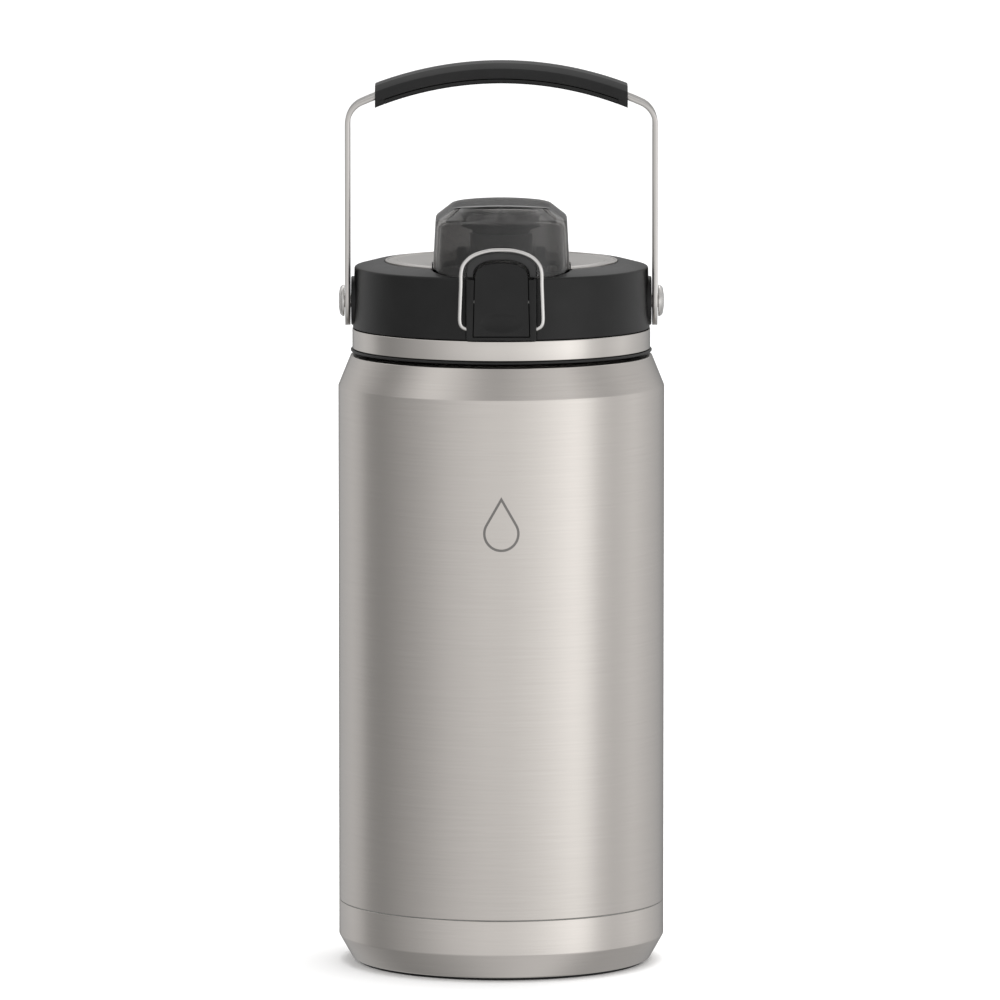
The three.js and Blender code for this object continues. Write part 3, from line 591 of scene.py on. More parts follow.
class Effects:
    """The effects that several finishes share, each a node group that is built once."""

    def __init__(self) -> None:
        """Builds every group."""
        self.brushing = self._brushing()
        self.moulding = self._moulding()
        self.handling = self._handling()

    def _brushing(self) -> bpy.types.NodeTree:
        """Fine parallel scratches that run level round an upright piece.

        Returns:
            The group, with Streak (0 to 1) and Height.
        """
        tree = new_group(
            "brushing", {"Contrast": 1.0}, {"Streak": "NodeSocketFloat", "Height": "NodeSocketFloat"}
        )
        place = tree.nodes["in"].outputs["Place"]
        fine = noise(tree, stretched(tree, place, (45, 45, 4200)), 1.0, 2.0, 0.6)
        broad = noise(tree, stretched(tree, place, (30, 30, 1500)), 1.0, 2.0, 0.5)
        weighed = math_node(tree, "MULTIPLY", broad, 0.2)
        both = math_node(tree, "MULTIPLY_ADD", fine, 0.8, weighed)
        centred = math_node(tree, "SUBTRACT", both, 0.5)
        spread = math_node(tree, "MULTIPLY", centred, tree.nodes["in"].outputs["Contrast"])
        streak = math_node(tree, "ADD", spread, 0.5)
        tree.links.new(streak, tree.nodes["out"].inputs["Streak"])
        tree.links.new(both, tree.nodes["out"].inputs["Height"])
        return tree

    def _moulding(self) -> bpy.types.NodeTree:
        """The fine spark-eroded texture of a moulded plastic face.

        Returns:
            The group, with Height and Blotch, both from 0 to 1.
        """
        tree = new_group(
            "moulding", {"Fineness": 1.0}, {"Height": "NodeSocketFloat", "Blotch": "NodeSocketFloat"}
        )
        place = tree.nodes["in"].outputs["Place"]
        fine = noise(tree, place, 2600.0, 3.0, 0.6)
        tuned = math_node(tree, "MULTIPLY", fine, tree.nodes["in"].outputs["Fineness"])
        blotch = noise(tree, place, 90.0, 3.0, 0.5)
        tree.links.new(tuned, tree.nodes["out"].inputs["Height"])
        tree.links.new(blotch, tree.nodes["out"].inputs["Blotch"])
        return tree

    def _handling(self) -> bpy.types.NodeTree:
        """Soft uneven patches, as fingers and wiping leave them.

        Returns:
            The group, with Mask from 0 to 1.
        """
        tree = new_group("handling", {"Amount": 0.3}, {"Mask": "NodeSocketFloat"})
        place = tree.nodes["in"].outputs["Place"]
        patch = noise(tree, place, 26.0, 4.0, 0.6)
        sharp = math_node(tree, "SMOOTH_MIN", patch, 0.75, 0.2)
        scaled = math_node(tree, "MULTIPLY", sharp, tree.nodes["in"].outputs["Amount"])
        tree.links.new(scaled, tree.nodes["out"].inputs["Mask"])
        return tree


class Bench:
    """One material in the making: its tree, its shader and its object coordinates."""

    def __init__(self, name: str) -> None:
        """Starts a material with a plain shader.

        Args:
            name: The material's name.
        """
        self.material = bpy.data.materials.new(name)
        self.material.use_nodes = True
        self.tree = self.material.node_tree
        self.shader = self.tree.nodes["Principled BSDF"]
        self.place = self.tree.nodes.new("ShaderNodeTexCoord").outputs["Object"]

    def set(self, **numbers: object) -> None:
        """Sets the shader's own numbers; an underscore in a name stands for a space.

        Args:
            **numbers: Socket names with their values.
        """
        for label, value in numbers.items():
            self.shader.inputs[label.replace("_", " ")].default_value = value

    def use(self, group: bpy.types.NodeTree, **numbers: float) -> bpy.types.Node:
        """Adds a shared effect, fed with object coordinates.

        Args:
            group: The effect.
            **numbers: Values for its inputs.

        Returns:
            The group node.
        """
        node = self.tree.nodes.new("ShaderNodeGroup")
        node.node_tree = group
        self.tree.links.new(self.place, node.inputs["Place"])
        for label, value in numbers.items():
            node.inputs[label].default_value = value
        return node

    def span(self, value: bpy.types.NodeSocket, low: float, high: float) -> bpy.types.NodeSocket:
        """Maps a value from 0..1 to a range.

        Args:
            value: The socket to map.
            low: The result at 0.
            high: The result at 1.

        Returns:
            The mapped value.
        """
        return math_node(self.tree, "MULTIPLY_ADD", value, high - low, low)

    def blend(
        self,
        value: bpy.types.NodeSocket,
        dark: Sequence[float],
        light: Sequence[float],
        low: float,
        high: float,
    ) -> bpy.types.NodeSocket:
        """Turns a value into a colour between two tones.

        Args:
            value: The socket that picks the tone.
            dark: Linear colour at the low value.
            light: Linear colour at the high value.
            low: Value that gives the dark tone.
            high: Value that gives the light tone.

        Returns:
            The colour.
        """
        ramp = self.tree.nodes.new("ShaderNodeValToRGB")
        ramp.color_ramp.elements[0].position = low
        ramp.color_ramp.elements[0].color = (*dark, 1)
        ramp.color_ramp.elements[1].position = high
        ramp.color_ramp.elements[1].color = (*light, 1)
        self.tree.links.new(value, ramp.inputs["Fac"])
        return ramp.outputs["Color"]

    def bump(self, height: bpy.types.NodeSocket, strength: float, depth: float) -> None:
        """Drives the normal with a height.

        Args:
            height: The height from 0 to 1.
            strength: Strength of the effect.
            depth: Real depth of the relief, in millimetres.
        """
        node = self.tree.nodes.new("ShaderNodeBump")
        node.inputs["Strength"].default_value = strength
        node.inputs["Distance"].default_value = depth * MM
        self.tree.links.new(height, node.inputs["Height"])
        self.tree.links.new(node.outputs["Normal"], self.shader.inputs["Normal"])

    def feed(self, value: bpy.types.NodeSocket, label: str) -> None:
        """Links a value to one of the shader's inputs.

        Args:
            value: The socket to link.
            label: The input's name.
        """
        self.tree.links.new(value, self.shader.inputs[label])


def tones(color: Sequence[float], spread: float) -> tuple[list[float], list[float]]:
    """A darker and a lighter tone of one colour.

    Args:
        color: The middle tone, linear.
        spread: Share of the colour to go down and up.

    Returns:
        The two tones.
    """
    return [c * (1 - spread) for c in color], [min(1.0, c * (1 + spread)) for c in color]


@dataclass(frozen=True)
class Steel:
    """Stainless steel.

    Attributes:
        name: The material's name.
        color: Linear reflectance.
        roughness: Mean roughness.
        streaks: How strongly level brushing shows, from 0 to 1.
        stretch: Anisotropy: how far highlights spread across the brushing.
        shade: Share by which full brushing darkens and lightens the colour.
        scuff: Roughness that full brushing adds and takes away.
        relief: Strength of the bump that full brushing gives.
    """

    name: str
    color: tuple[float, float, float] = (0.60, 0.57, 0.54)
    roughness: float = 0.34
    streaks: float = 1.0
    stretch: float = 0.0
    shade: float = 0.022
    scuff: float = 0.025
    relief: float = 0.025

    def make(self, effects: Effects) -> bpy.types.Material:
        """Builds the material.

        Args:
            effects: The shared effects.

        Returns:
            The material.
        """
        bench = Bench(self.name)
        bench.set(Metallic=1.0, Anisotropic=self.stretch, Anisotropic_Rotation=0.25)
        if self.stretch:
            tangent = bench.tree.nodes.new("ShaderNodeTangent")
            tangent.direction_type = "RADIAL"
            tangent.axis = "Z"
            bench.feed(tangent.outputs["Tangent"], "Tangent")
        brushing = bench.use(effects.brushing, Contrast=1.6 * self.streaks)
        handling = bench.use(effects.handling, Amount=0.02)
        dark, light = tones(self.color, self.shade * self.streaks + 0.006)
        bench.feed(bench.blend(brushing.outputs["Streak"], dark, light, 0.2, 0.8), "Base Color")
        low = self.roughness - 0.02
        streaky = bench.span(brushing.outputs["Streak"], low, low + self.scuff)
        bench.feed(math_node(bench.tree, "ADD", streaky, handling.outputs["Mask"]), "Roughness")
        bench.bump(brushing.outputs["Height"], self.relief * self.streaks + 0.008, 0.01)
        return bench.material


@dataclass(frozen=True)
class Moulded:
    """Moulded plastic, rubber or silicone.

    Attributes:
        name: The material's name.
        color: Linear colour.
        roughness: Mean roughness.
        grain: Depth of the moulded texture, in millimetres.
        gloss: Specular level.
    """

    name: str
    color: tuple[float, float, float]
    roughness: float = 0.45
    grain: float = 0.02
    gloss: float = 0.5

    def make(self, effects: Effects) -> bpy.types.Material:
        """Builds the material.

        Args:
            effects: The shared effects.

        Returns:
            The material.
        """
        bench = Bench(self.name)
        bench.set(Specular_IOR_Level=self.gloss)
        moulding = bench.use(effects.moulding, Fineness=1.0)
        handling = bench.use(effects.handling, Amount=0.08)
        dark, light = tones(self.color, 0.18)
        bench.feed(bench.blend(moulding.outputs["Blotch"], dark, light, 0.3, 0.7), "Base Color")
        low = self.roughness - 0.07
        uneven = bench.span(moulding.outputs["Height"], low, low + 0.1)
        bench.feed(math_node(bench.tree, "ADD", uneven, handling.outputs["Mask"]), "Roughness")
        bench.bump(moulding.outputs["Height"], 0.25, self.grain)
        return bench.material


@dataclass(frozen=True)
class Smoke:
    """Clear plastic with a smoke tint.

    Attributes:
        name: The material's name.
        color: Share of the light that one wall lets through.
        roughness: Roughness of its polished faces.
    """

    name: str
    color: tuple[float, float, float]
    roughness: float = 0.06

    def make(self, effects: Effects) -> bpy.types.Material:
        """Builds the material.

        Args:
            effects: The shared effects.

        Returns:
            The material.
        """
        bench = Bench(self.name)
        bench.set(Transmission_Weight=1.0, IOR=1.49, Metallic=0.0)
        handling = bench.use(effects.handling, Amount=0.08)
        dark, light = tones(self.color, 0.06)
        bench.feed(bench.blend(handling.outputs["Mask"], light, dark, 0.0, 0.08), "Base Color")
        uneven = math_node(bench.tree, "ADD", handling.outputs["Mask"], self.roughness - 0.03)
        bench.feed(uneven, "Roughness")
        return bench.material


@dataclass
class Finishes:
    """Every finish on the jug, made once.

    Attributes:
        effects: The effects that the finishes share.
    """

    effects: Effects = field(default_factory=Effects)

    def __post_init__(self) -> None:
        """Builds the materials."""

        def made(finish: Steel | Moulded | Smoke) -> bpy.types.Material:
            """Builds one finish with the shared effects."""
            return finish.make(self.effects)

        self.body_steel = made(Steel("body_steel", (0.585, 0.553, 0.522), 0.24, 1.0, 0.5))
        self.band_steel = made(Steel("band_steel", (0.60, 0.57, 0.54), 0.17, 0.7, 0.5))
        self.satin_steel = made(Steel("satin_steel", (0.58, 0.56, 0.54), 0.32, 0.25))
        self.bright_steel = made(Steel("bright_steel", (0.68, 0.665, 0.65), 0.22, 0.1))
        self.inner_steel = made(Steel("inner_steel", (0.60, 0.59, 0.58), 0.3, 0.4))
        self.etched_steel = made(Steel("etched_steel", (0.25, 0.24, 0.23), 0.55, 0.2))
        self.foil = made(Steel("copper_foil", (0.70, 0.40, 0.24), 0.25, 0.2))
        self.black_plastic = made(Moulded("black_plastic", (0.008, 0.008, 0.008), 0.36, 0.008, 0.28))
        self.arch_plastic = made(Moulded("arch_plastic", (0.026, 0.026, 0.026), 0.3, 0.006, 0.4))
        self.spout_plastic = made(Moulded("spout_plastic", (0.10, 0.10, 0.10), 0.28, 0.004, 0.6))
        self.black_insert = made(Moulded("black_insert", (0.012, 0.012, 0.012), 0.4, 0.008, 0.3))
        self.soft_grip = made(Moulded("soft_grip", (0.011, 0.011, 0.011), 0.5, 0.012, 0.28))
        self.black_silicone = made(Moulded("black_silicone", (0.01, 0.01, 0.01), 0.6, 0.01, 0.22))
        self.clear_silicone = made(Moulded("clear_silicone", (0.52, 0.52, 0.50), 0.5, 0.01, 0.4))
        self.nylon = made(Moulded("nylon", (0.012, 0.012, 0.012), 0.5, 0.01))
        self.getter_alloy = made(Moulded("getter_alloy", (0.22, 0.22, 0.21), 0.7, 0.04))
        self.smoke = made(Smoke("smoke_plastic", (0.225, 0.22, 0.215)))


def dress(frame: dict, node: str, material: bpy.types.Material) -> None:
    """Gives a CAD node that stays a finish of its own.

    Args:
        frame: The loaded frame.
        node: The node's name.
        material: The finish.
    """
    slots = frame["nodes"][node].material_slots
    for slot in slots:
        slot.material = material


# ------------------------------------------------------------------ vessel


@dataclass
class Vessel:
    """The double-walled steel bottle, from the ring that it stands on to the rim of its neck.

    Attributes:
        frame: The loaded frame.
        finishes: The finishes.
        radius: Outer radius of the straight wall.
        wall: Thickness of the outer wall.
        seam: Height of the weld seam near the base.
        shoulder: Height where the shoulder's slope starts.
        shoulder_top: Height where the slope ends.
        neck: Outer radius of the neck.
        rim: Height of the rim.
        mark: Height of the middle of the droplet outline on the front.
    """

    frame: dict
    finishes: Finishes
    radius: float = field(init=False)
    wall: float = 0.7
    seam: float = field(init=False)
    shoulder: float = 213.5
    shoulder_top: float = 225.0
    neck: float = 46.8
    rim: float = field(init=False)
    mark: float = 165.0

    def __post_init__(self) -> None:
        """Reads the sizes that the frame fixes."""
        low, high = measured("outer_shell")
        self.radius = high.x
        self.seam = (measured("outer_base")[1].z + low.z) / 2
        self.rim = measured("inner_liner")[1].z

    def build(self) -> None:
        """Builds and places every piece of the vessel."""
        steel = self.finishes.body_steel
        inner = self.finishes.inner_steel
        seam = self.finishes.getter_alloy
        rubber = self.finishes.black_silicone
        etched = self.finishes.etched_steel
        body = Body.VESSEL
        put(
            Piece("shell_surface", self.shell(), steel, body, "brushed_shell", ("outer_shell",), 50),
            Piece("base_surface", self.base(), steel, body, "brushed_shell", ("outer_base",), 50),
            Piece("liner_surface", self.liner(), inner, body, "inner_steel", ("inner_liner",), 50),
            # a dull grey ring in the seam's gap: the weld line, with the gap's shade painted in
            Piece("seam_shadow", self.seam_groove(), seam, body, "getter_alloy"),
            Piece("foot_ring_surface", self.foot(), rubber, body, "black_silicone", ("foot_ring",)),
            Piece("vacuum_seal_disc", self.seal(), inner, body, "getter_alloy", ("vacuum_seal",)),
            Piece("droplet_outline", self.droplet(), etched, body, "brushed_shell"),
        )
        dress(self.frame, "radiation_foil", self.finishes.foil)
        dress(self.frame, "getter", self.finishes.getter_alloy)

    def shell(self) -> bmesh.types.BMesh:
        """The outer wall with its shoulder, its neck and the neck's thread.

        Returns:
            The wall and the thread in one mesh.
        """
        inner = self.radius - self.wall
        wall = turned(
            [
                Corner(inner, self.seam + 0.15),
                Corner(self.radius, self.seam + 0.15, 0.25),
                Corner(self.radius, self.shoulder, 1.6),
                Corner(55.45, self.shoulder_top - 0.3, 0.5),
                Corner(54.6, self.shoulder_top, 0.3),
                Corner(self.neck, self.shoulder_top, 0.6),
                Corner(self.neck, self.rim - 0.9),
                Corner(self.neck - self.wall, self.rim - 0.9),
                Corner(self.neck - self.wall, self.shoulder_top - self.wall),
                Corner(54.3, self.shoulder_top - self.wall, 0.3),
                Corner(inner, self.shoulder - 0.3, 1.0),
            ],
            closed=True,
            segments=FINE,
        )
        return joined([wall, *self.thread()])

    def thread(self) -> list[bmesh.types.BMesh]:
        """The two starts of the neck's screw thread.

        Returns:
            The two ridges.
        """
        turns = 1.2
        lead = 8.0
        starts: list[bmesh.types.BMesh] = []
        for start in range(2):
            bm = bmesh.new()
            root, crest = self.neck - 0.3, self.neck + 1.3
            section = [(root, 229.2), (crest, 229.6), (crest, 230.4), (root, 230.8)]
            verts = [bm.verts.new((r * MM, 0, z * MM)) for r, z in section]
            face = bm.faces.new(verts)
            steps = int(FINE * turns / 2)
            bmesh.ops.spin(
                bm, geom=[face], axis=(0, 0, 1), cent=(0, 0, 0), angle=2 * math.pi * turns, steps=steps,
                dvec=(0, 0, lead * turns * MM / steps), use_duplicate=False,
            )
            tidy(bm)
            bmesh.ops.rotate(
                bm, verts=bm.verts[:], cent=(0, 0, 0), matrix=Matrix.Rotation(math.pi * start, 3, "Z")
            )
            starts.append(bm)
        return starts

    def base(self) -> bmesh.types.BMesh:
        """The cup below the seam, chamfered to the foot, with its recessed underside.

        Returns:
            The cup, closed at its axis.
        """
        top = self.seam - 0.15
        inner = self.radius - self.wall
        return turned(
            [
                Corner(0, 3.0),
                Corner(45.5, 3.0, 1.0),
                Corner(46.7, 1.0, 0.8),
                Corner(54.9, 1.0, 1.3),
                Corner(self.radius, 10.0, 1.4),
                Corner(self.radius, top, 0.25),
                Corner(inner, top),
                Corner(inner, 10.3, 1.0),
                Corner(54.3, 1.8, 0.8),
                Corner(47.0, 1.8, 0.6),
                Corner(45.8, 3.7, 0.6),
                Corner(0, 3.7),
            ]
        )

    def seam_groove(self) -> bmesh.types.BMesh:
        """A dull grey ring a little below the surface that closes the seam's gap: the weld line, with the
        shade in the gap painted into it.

        Returns:
            A thin ring.
        """
        depth = self.radius - 0.25
        return turned(
            [
                Corner(depth - 0.3, self.seam - 0.35),
                Corner(depth, self.seam - 0.35),
                Corner(depth, self.seam + 0.35),
                Corner(depth - 0.3, self.seam + 0.35),
            ],
            closed=True,
        )

    def liner(self) -> bmesh.types.BMesh:
        """The inner bottle, rolled over the top of the neck.

        Returns:
            The bottle, closed at its axis.
        """
        mouth = 45.2
        return turned(
            [
                Corner(0, 9.2),
                Corner(50, 9.2, 6),
                Corner(57.4, 17.2, 6),
                Corner(57.4, 206, 5),
                Corner(mouth + 0.6, 222, 5),
                Corner(mouth + 0.6, self.rim - 0.6),
                Corner(self.neck, self.rim - 0.6, 0.2),
                Corner(self.neck, self.rim, 0.3),
                Corner(mouth, self.rim, 0.5),
                Corner(mouth, 221.7, 4.5),
                Corner(56.8, 205.7, 4.5),
                Corner(56.8, 17.4, 5.5),
                Corner(49.8, 9.8, 5.5),
                Corner(0, 9.8),
            ]
        )

    def foot(self) -> bmesh.types.BMesh:
        """The dark ring that the jug stands on.

        Returns:
            The ring.
        """
        low, high = measured("foot_ring")
        inner, outer = 47.2, high.x
        return turned(
            [
                Corner(inner, low.z, 0.2),
                Corner(outer, low.z, 0.25),
                Corner(outer, high.z, 0.2),
                Corner(inner, high.z, 0.2),
            ],
            closed=True,
        )

    def seal(self) -> bmesh.types.BMesh:
        """The small dished disc that closes the vacuum port under the base.

        Returns:
            The disc, closed at its axis.
        """
        return turned(
            [
                Corner(0, 2.15),
                Corner(1.6, 2.15, 0.5),
                Corner(2.2, 1.7, 0.3),
                Corner(3.7, 1.7, 0.3),
                Corner(4, 2.0, 0.2),
                Corner(4, 2.7, 0.1),
                Corner(0, 2.7),
            ],
            segments=MEDIUM,
        )

    def droplet(self) -> bmesh.types.BMesh:
        """A plain droplet outline, wrapped round the front of the wall.

        Returns:
            The outline as a thin raised line.
        """
        round_radius = 6.2
        tip = 12.5
        line = 0.45
        proud = 0.03
        tangent = math.asin(round_radius / tip)
        steps = 64

        def outline(grow: float) -> list[tuple[float, float]]:
            """The droplet's edge, grown outwards by a distance.

            Args:
                grow: Distance, in millimetres.

            Returns:
                The points as (x, z), closed on themselves.
            """
            radius = round_radius + grow
            reach = radius / math.sin(tangent)
            sweep = [math.pi - tangent + (math.pi + 2 * tangent) * i / steps for i in range(steps + 1)]
            arc = [(radius * math.cos(a), radius * math.sin(a)) for a in sweep]
            last_x, last_z = arc[-1]
            side = [(last_x * (1 - i / 12), last_z + (reach - last_z) * i / 12) for i in range(1, 12)]
            mirrored = [(-x, z) for x, z in reversed(side)]
            return [*arc, *side, (0.0, reach), *mirrored]

        bm = bmesh.new()
        rings = []
        for grow in (-line, line):
            ring = [bm.verts.new((x * MM, 0, z * MM)) for x, z in outline(grow)]
            rings.append([bm.edges.new(pair) for pair in zip(ring, ring[1:] + ring[:1])])
        bmesh.ops.bridge_loops(bm, edges=rings[0] + rings[1])
        behind = bmesh.ops.extrude_face_region(bm, geom=bm.faces[:], use_keep_orig=True)
        back = {v for v in behind["geom"] if isinstance(v, bmesh.types.BMVert)}
        for vert in bm.verts:
            x, z = vert.co.x / MM, vert.co.z / MM
            depth = self.radius + (proud - 0.1 if vert in back else proud)
            turn = x / depth
            vert.co = Vector((depth * math.sin(turn), -depth * math.cos(turn), z + self.mark)) * MM
        return tidy(bm)


# ------------------------------------------------------------------ lid


@dataclass
class CapPlan:
    """The flip cap's outline from above: a half ellipse in front, straight sides and a blunt back.

    Attributes:
        half: Half of its width.
        bend: Depth where the straight sides end and the ellipse starts.
        front: Length of the ellipse.
        back: Depth of the back.
        corner: Radius of the two back corners.
        draft: Share of the plan lost for each millimetre of height.
        foot: Height at which the plan is full size.
    """

    half: float = field(init=False)
    bend: float = -36.0
    front: float = 17.4
    back: float = -4.0
    corner: float = 8.0
    draft: float = 0.0021
    foot: float = field(init=False)

    def __post_init__(self) -> None:
        """Reads the sizes that the frame fixes."""
        low, high = measured("cap_shell")
        self.half, self.foot = high.x, low.z

    def ring(self, inset: float, height: float, back_share: float = 1.0) -> list[tuple[float, float]]:
        """The outline at a height, always with the same number of points.

        Args:
            inset: How far the outline is drawn in.
            height: Height, for the draft.
            back_share: Share of the inset that the back gets.

        Returns:
            The points as (x, y), from the middle of the back round over the left side and the front.
        """
        half, back = self.half - inset, self.back - inset * back_share
        corner = self.corner - inset * 0.5
        left = [(-(half - corner) * i / 10, back) for i in range(10)]
        for i in range(10):
            angle = math.pi / 2 * (1 + i / 10)
            x = corner * math.cos(angle) - half + corner
            left.append((x, corner * math.sin(angle) + back - corner))
        start = back - corner
        left += [(-half, start + (self.bend - start) * i / 8) for i in range(8)]
        reach = self.front - inset
        for i in range(30):
            angle = math.pi / 2 * i / 30
            left.append((-half * math.cos(angle), self.bend - reach * math.sin(angle)))
        whole = [*left, (0.0, self.bend - reach), *[(-x, y) for x, y in reversed(left[1:])]]
        keep = 1 - self.draft * (height - self.foot)
        return [(x * keep, self.bend + (y - self.bend) * keep) for x, y in whole]

    def prism(self, inset: float, low: float, high: float) -> bmesh.types.BMesh:
        """The outline as an upright prism, at its full size.

        Args:
            inset: How far the outline is drawn in.
            low: Height of the prism's foot.
            high: Height of its top.

        Returns:
            The prism.
        """
        bm = bmesh.new()
        bm.faces.new([bm.verts.new(Vector((x, y, low)) * MM) for x, y in self.ring(inset, self.foot)])
        raised = bmesh.ops.extrude_face_region(bm, geom=bm.faces[:], use_keep_orig=True)
        top = [v for v in raised["geom"] if isinstance(v, bmesh.types.BMVert)]
        bmesh.ops.translate(bm, vec=(0, 0, (high - low) * MM), verts=top)
        return tidy(bm)


def hoop(
    half: float, foot: float, shoulder: float, crown: float, steps: int = 40
) -> list[tuple[float, float]]:
    """An arch from foot to foot: upright sides, round shoulders and a low crown.

    Args:
        half: Half of its width.
        foot: Height of its feet.
        shoulder: Height where the sides start to bend.
        crown: Height of its middle.
        steps: Steps over the bend.

    Returns:
        The points as (x, z).
    """
    points = [(-half, foot)]
    for step in range(steps + 1):
        angle = math.pi * (1 - step / steps)
        x = math.copysign(abs(math.cos(angle)) ** 0.86, math.cos(angle)) * half
        z = shoulder + (crown - shoulder) * abs(math.sin(angle)) ** 0.86
        points.append((x, z))
    points.append((half, foot))
    return points


@dataclass
class Lid:
    """The screw-on lid: shell, band, threaded insert, deck, spout and the handle's pivots.

    Attributes:
        frame: The loaded frame.
        finishes: The finishes.
        plan: The flip cap's outline, which the deck is cut out for.
        skirt: Radius of the skirt at its foot.
        skirt_foot: Height of the skirt's foot.
        edge: Radius and height where the skirt meets the deck's slope.
        deck: Height of the flat of the deck.
        disc: Radius of the steel inlay.
        well: Height of the floor that the cap stands on.
        pivot: Height of the handle's pivots.
        hinge: Height of the cap's hinge.
        spout_y: Depth of the spout's axis.
    """

    frame: dict
    finishes: Finishes
    plan: CapPlan
    skirt: float = 54.6
    skirt_foot: float = field(init=False)
    edge: tuple[float, float] = (54.0, 257.3)
    deck: float = 259.2
    disc: float = field(init=False)
    well: float = 257.3
    pivot: float = field(init=False)
    hinge: float = field(init=False)
    spout_y: float = field(init=False)

    def __post_init__(self) -> None:
        """Reads the sizes that the frame fixes."""
        self.skirt_foot = measured("lid_shell")[0].z
        self.disc = measured("top_disc")[1].x
        self.pivot = middle_of("rivet_left").z
        self.hinge = middle_of("cap_hinge_pin").z
        self.spout_y = middle_of("spout").y

    def build(self) -> None:
        """Builds and places every piece of the lid."""
        black = self.finishes.black_plastic
        insert = self.finishes.black_insert
        band = self.finishes.band_steel
        satin = self.finishes.satin_steel
        bright = self.finishes.bright_steel
        spout = self.finishes.spout_plastic
        soft = self.finishes.clear_silicone
        lid = Body.LID
        put(
            Piece("lid_shell_surface", self.shell(), black, lid, "black_plastic", ("lid_shell",), 24),
            Piece("lid_bosses", self.bosses(), black, lid, "black_plastic"),
            Piece("hinge_ears", self.ears(), black, lid, "black_plastic"),
            Piece("lid_insert_surface", self.insert(), insert, lid, "black_insert", ("lid_insert",), 50),
            Piece("lid_band_surface", self.band(), band, lid, "plain_steel", ("lid_band",)),
            Piece("top_disc_surface", self.inlay(), satin, lid, "plain_steel", ("top_disc",)),
            Piece("spout_surface", self.spout(), spout, lid, "black_insert", ("spout",)),
            Piece("vent_valve_surface", self.vent(), soft, lid, "clear_silicone", ("vent_valve",)),
            Piece("gasket_surface", self.gasket(), soft, Body.CARRIER, "clear_silicone", ("lid_gasket",)),
        )
        for side, axis in (("left", Axis.LEFT), ("right", Axis.RIGHT)):
            name = f"rivet_{side}"
            put(Piece(f"{name}_surface", self.rivet(axis), bright, lid, "plain_steel", (name,)))
            dress(self.frame, f"bushing_{side}", self.finishes.nylon)
        put(
            Piece("hinge_pin_surface", self.pin(), bright, lid, "bright_steel", ("cap_hinge_pin",)),
            Piece("hinge_spring_surface", self.spring(), bright, lid, "bright_steel", ("cap_hinge_spring",)),
        )

    def shell(self) -> bmesh.types.BMesh:
        """The skirt and the deck, cut out for the cap, the latch, the spout and the rivets.

        Returns:
            The shell.
        """
        edge_radius, edge_height = self.edge
        inlay = self.disc + 0.3
        under = 255.2
        outer = turned(
            [
                Corner(0, under),
                Corner(51.9, under),
                Corner(51.9, self.skirt_foot),
                Corner(self.skirt, self.skirt_foot, 0.3),
                Corner(edge_radius, edge_height, 0.9),
                Corner(46.5, self.deck, 0.8),
                Corner(inlay, self.deck, 0.15),
                Corner(inlay, self.deck - 0.4),
                Corner(0, self.deck - 0.4),
            ]
        )
        tools = [
            self.plan.prism(-0.75, self.well, 270),
            block((-13.1, -60, self.well), (13.1, -38, 270)),
            block((-18, -10, self.well), (18, 4, 270)),
            block((-13, -62, 228), (13, -50.5, 270)),
            self.post(14.9, self.spout_y, 250, 270),
            *[self.bore(sign) for sign in (-1, 1)],
        ]
        return carved(outer, tools)

    def post(self, radius: float, y: float, low: float, high: float) -> bmesh.types.BMesh:
        """An upright rod."""
        corners = [Corner(0, low), Corner(radius, low), Corner(radius, high), Corner(0, high)]
        return turned(corners, segments=MEDIUM, centre=(0, y, 0))

    def bore(self, sign: int) -> bmesh.types.BMesh:
        """The hole that one rivet passes through.

        Args:
            sign: Side of the lid: -1 on the left, 1 on the right.

        Returns:
            The rod to cut with.
        """
        corners = [Corner(0, 50), Corner(2.8, 50), Corner(2.8, 60), Corner(0, 60)]
        axis = Axis.RIGHT if sign > 0 else Axis.LEFT
        return turned(corners, segments=48, centre=(0, 0, self.pivot), axis=axis)

    def bosses(self) -> bmesh.types.BMesh:
        """The round pads on both sides of the skirt that the strap turns against.

        Returns:
            Both pads in one mesh.
        """
        profile = [
            Corner(2.8, 52.5),
            Corner(9, 52.5),
            Corner(9, 55.2, 0.5),
            Corner(6.4, 55.2, 0.15),
            Corner(6.2, 54.9, 0.15),
            Corner(2.8, 54.9),
        ]
        place = (0, 0, self.pivot)
        pads = [
            turned(profile, closed=True, segments=MEDIUM, centre=place, axis=axis)
            for axis in (Axis.LEFT, Axis.RIGHT)
        ]
        return joined(pads)

    def ears(self) -> bmesh.types.BMesh:
        """The two ears of the cap's hinge, with their feet.

        Returns:
            Both ears in one mesh.
        """
        barrel = [Corner(1.3, 13), Corner(2.6, 13, 0.3), Corner(2.6, 17, 0.5), Corner(1.3, 17)]
        parts = []
        for sign, axis in ((-1, Axis.LEFT), (1, Axis.RIGHT)):
            parts.append(turned(barrel, closed=True, segments=48, centre=(0, 0, self.hinge), axis=axis))
            low, high = sorted((sign * 13, sign * 17))
            parts.append(block((low, -2.6, self.well - 0.2), (high, 2.6, self.hinge - 1.4), 0.3))
        return joined(parts)

    def insert(self) -> bmesh.types.BMesh:
        """The threaded inner cup, whose lip shows as a thin black line under the band.

        Returns:
            The cup, with the spout's hole in its floor.
        """
        cup = turned(
            [
                Corner(9.8, 249.3),
                Corner(48.8, 249.3),
                Corner(48.8, 226.2, 0.3),
                Corner(55.4, 226.2, 0.35),
                Corner(55.4, 227.05, 0.3),
                Corner(53.7, 227.05),
                Corner(53.7, 234.6),
                Corner(50.4, 234.6),
                Corner(50.4, 251.3),
                Corner(9.8, 251.3),
            ],
            closed=True,
        )
        shaped(cup, lambda p: Vector((p.x, p.y + (self.spout_y if math.hypot(p.x, p.y) < 12 else 0), p.z)))
        return cup

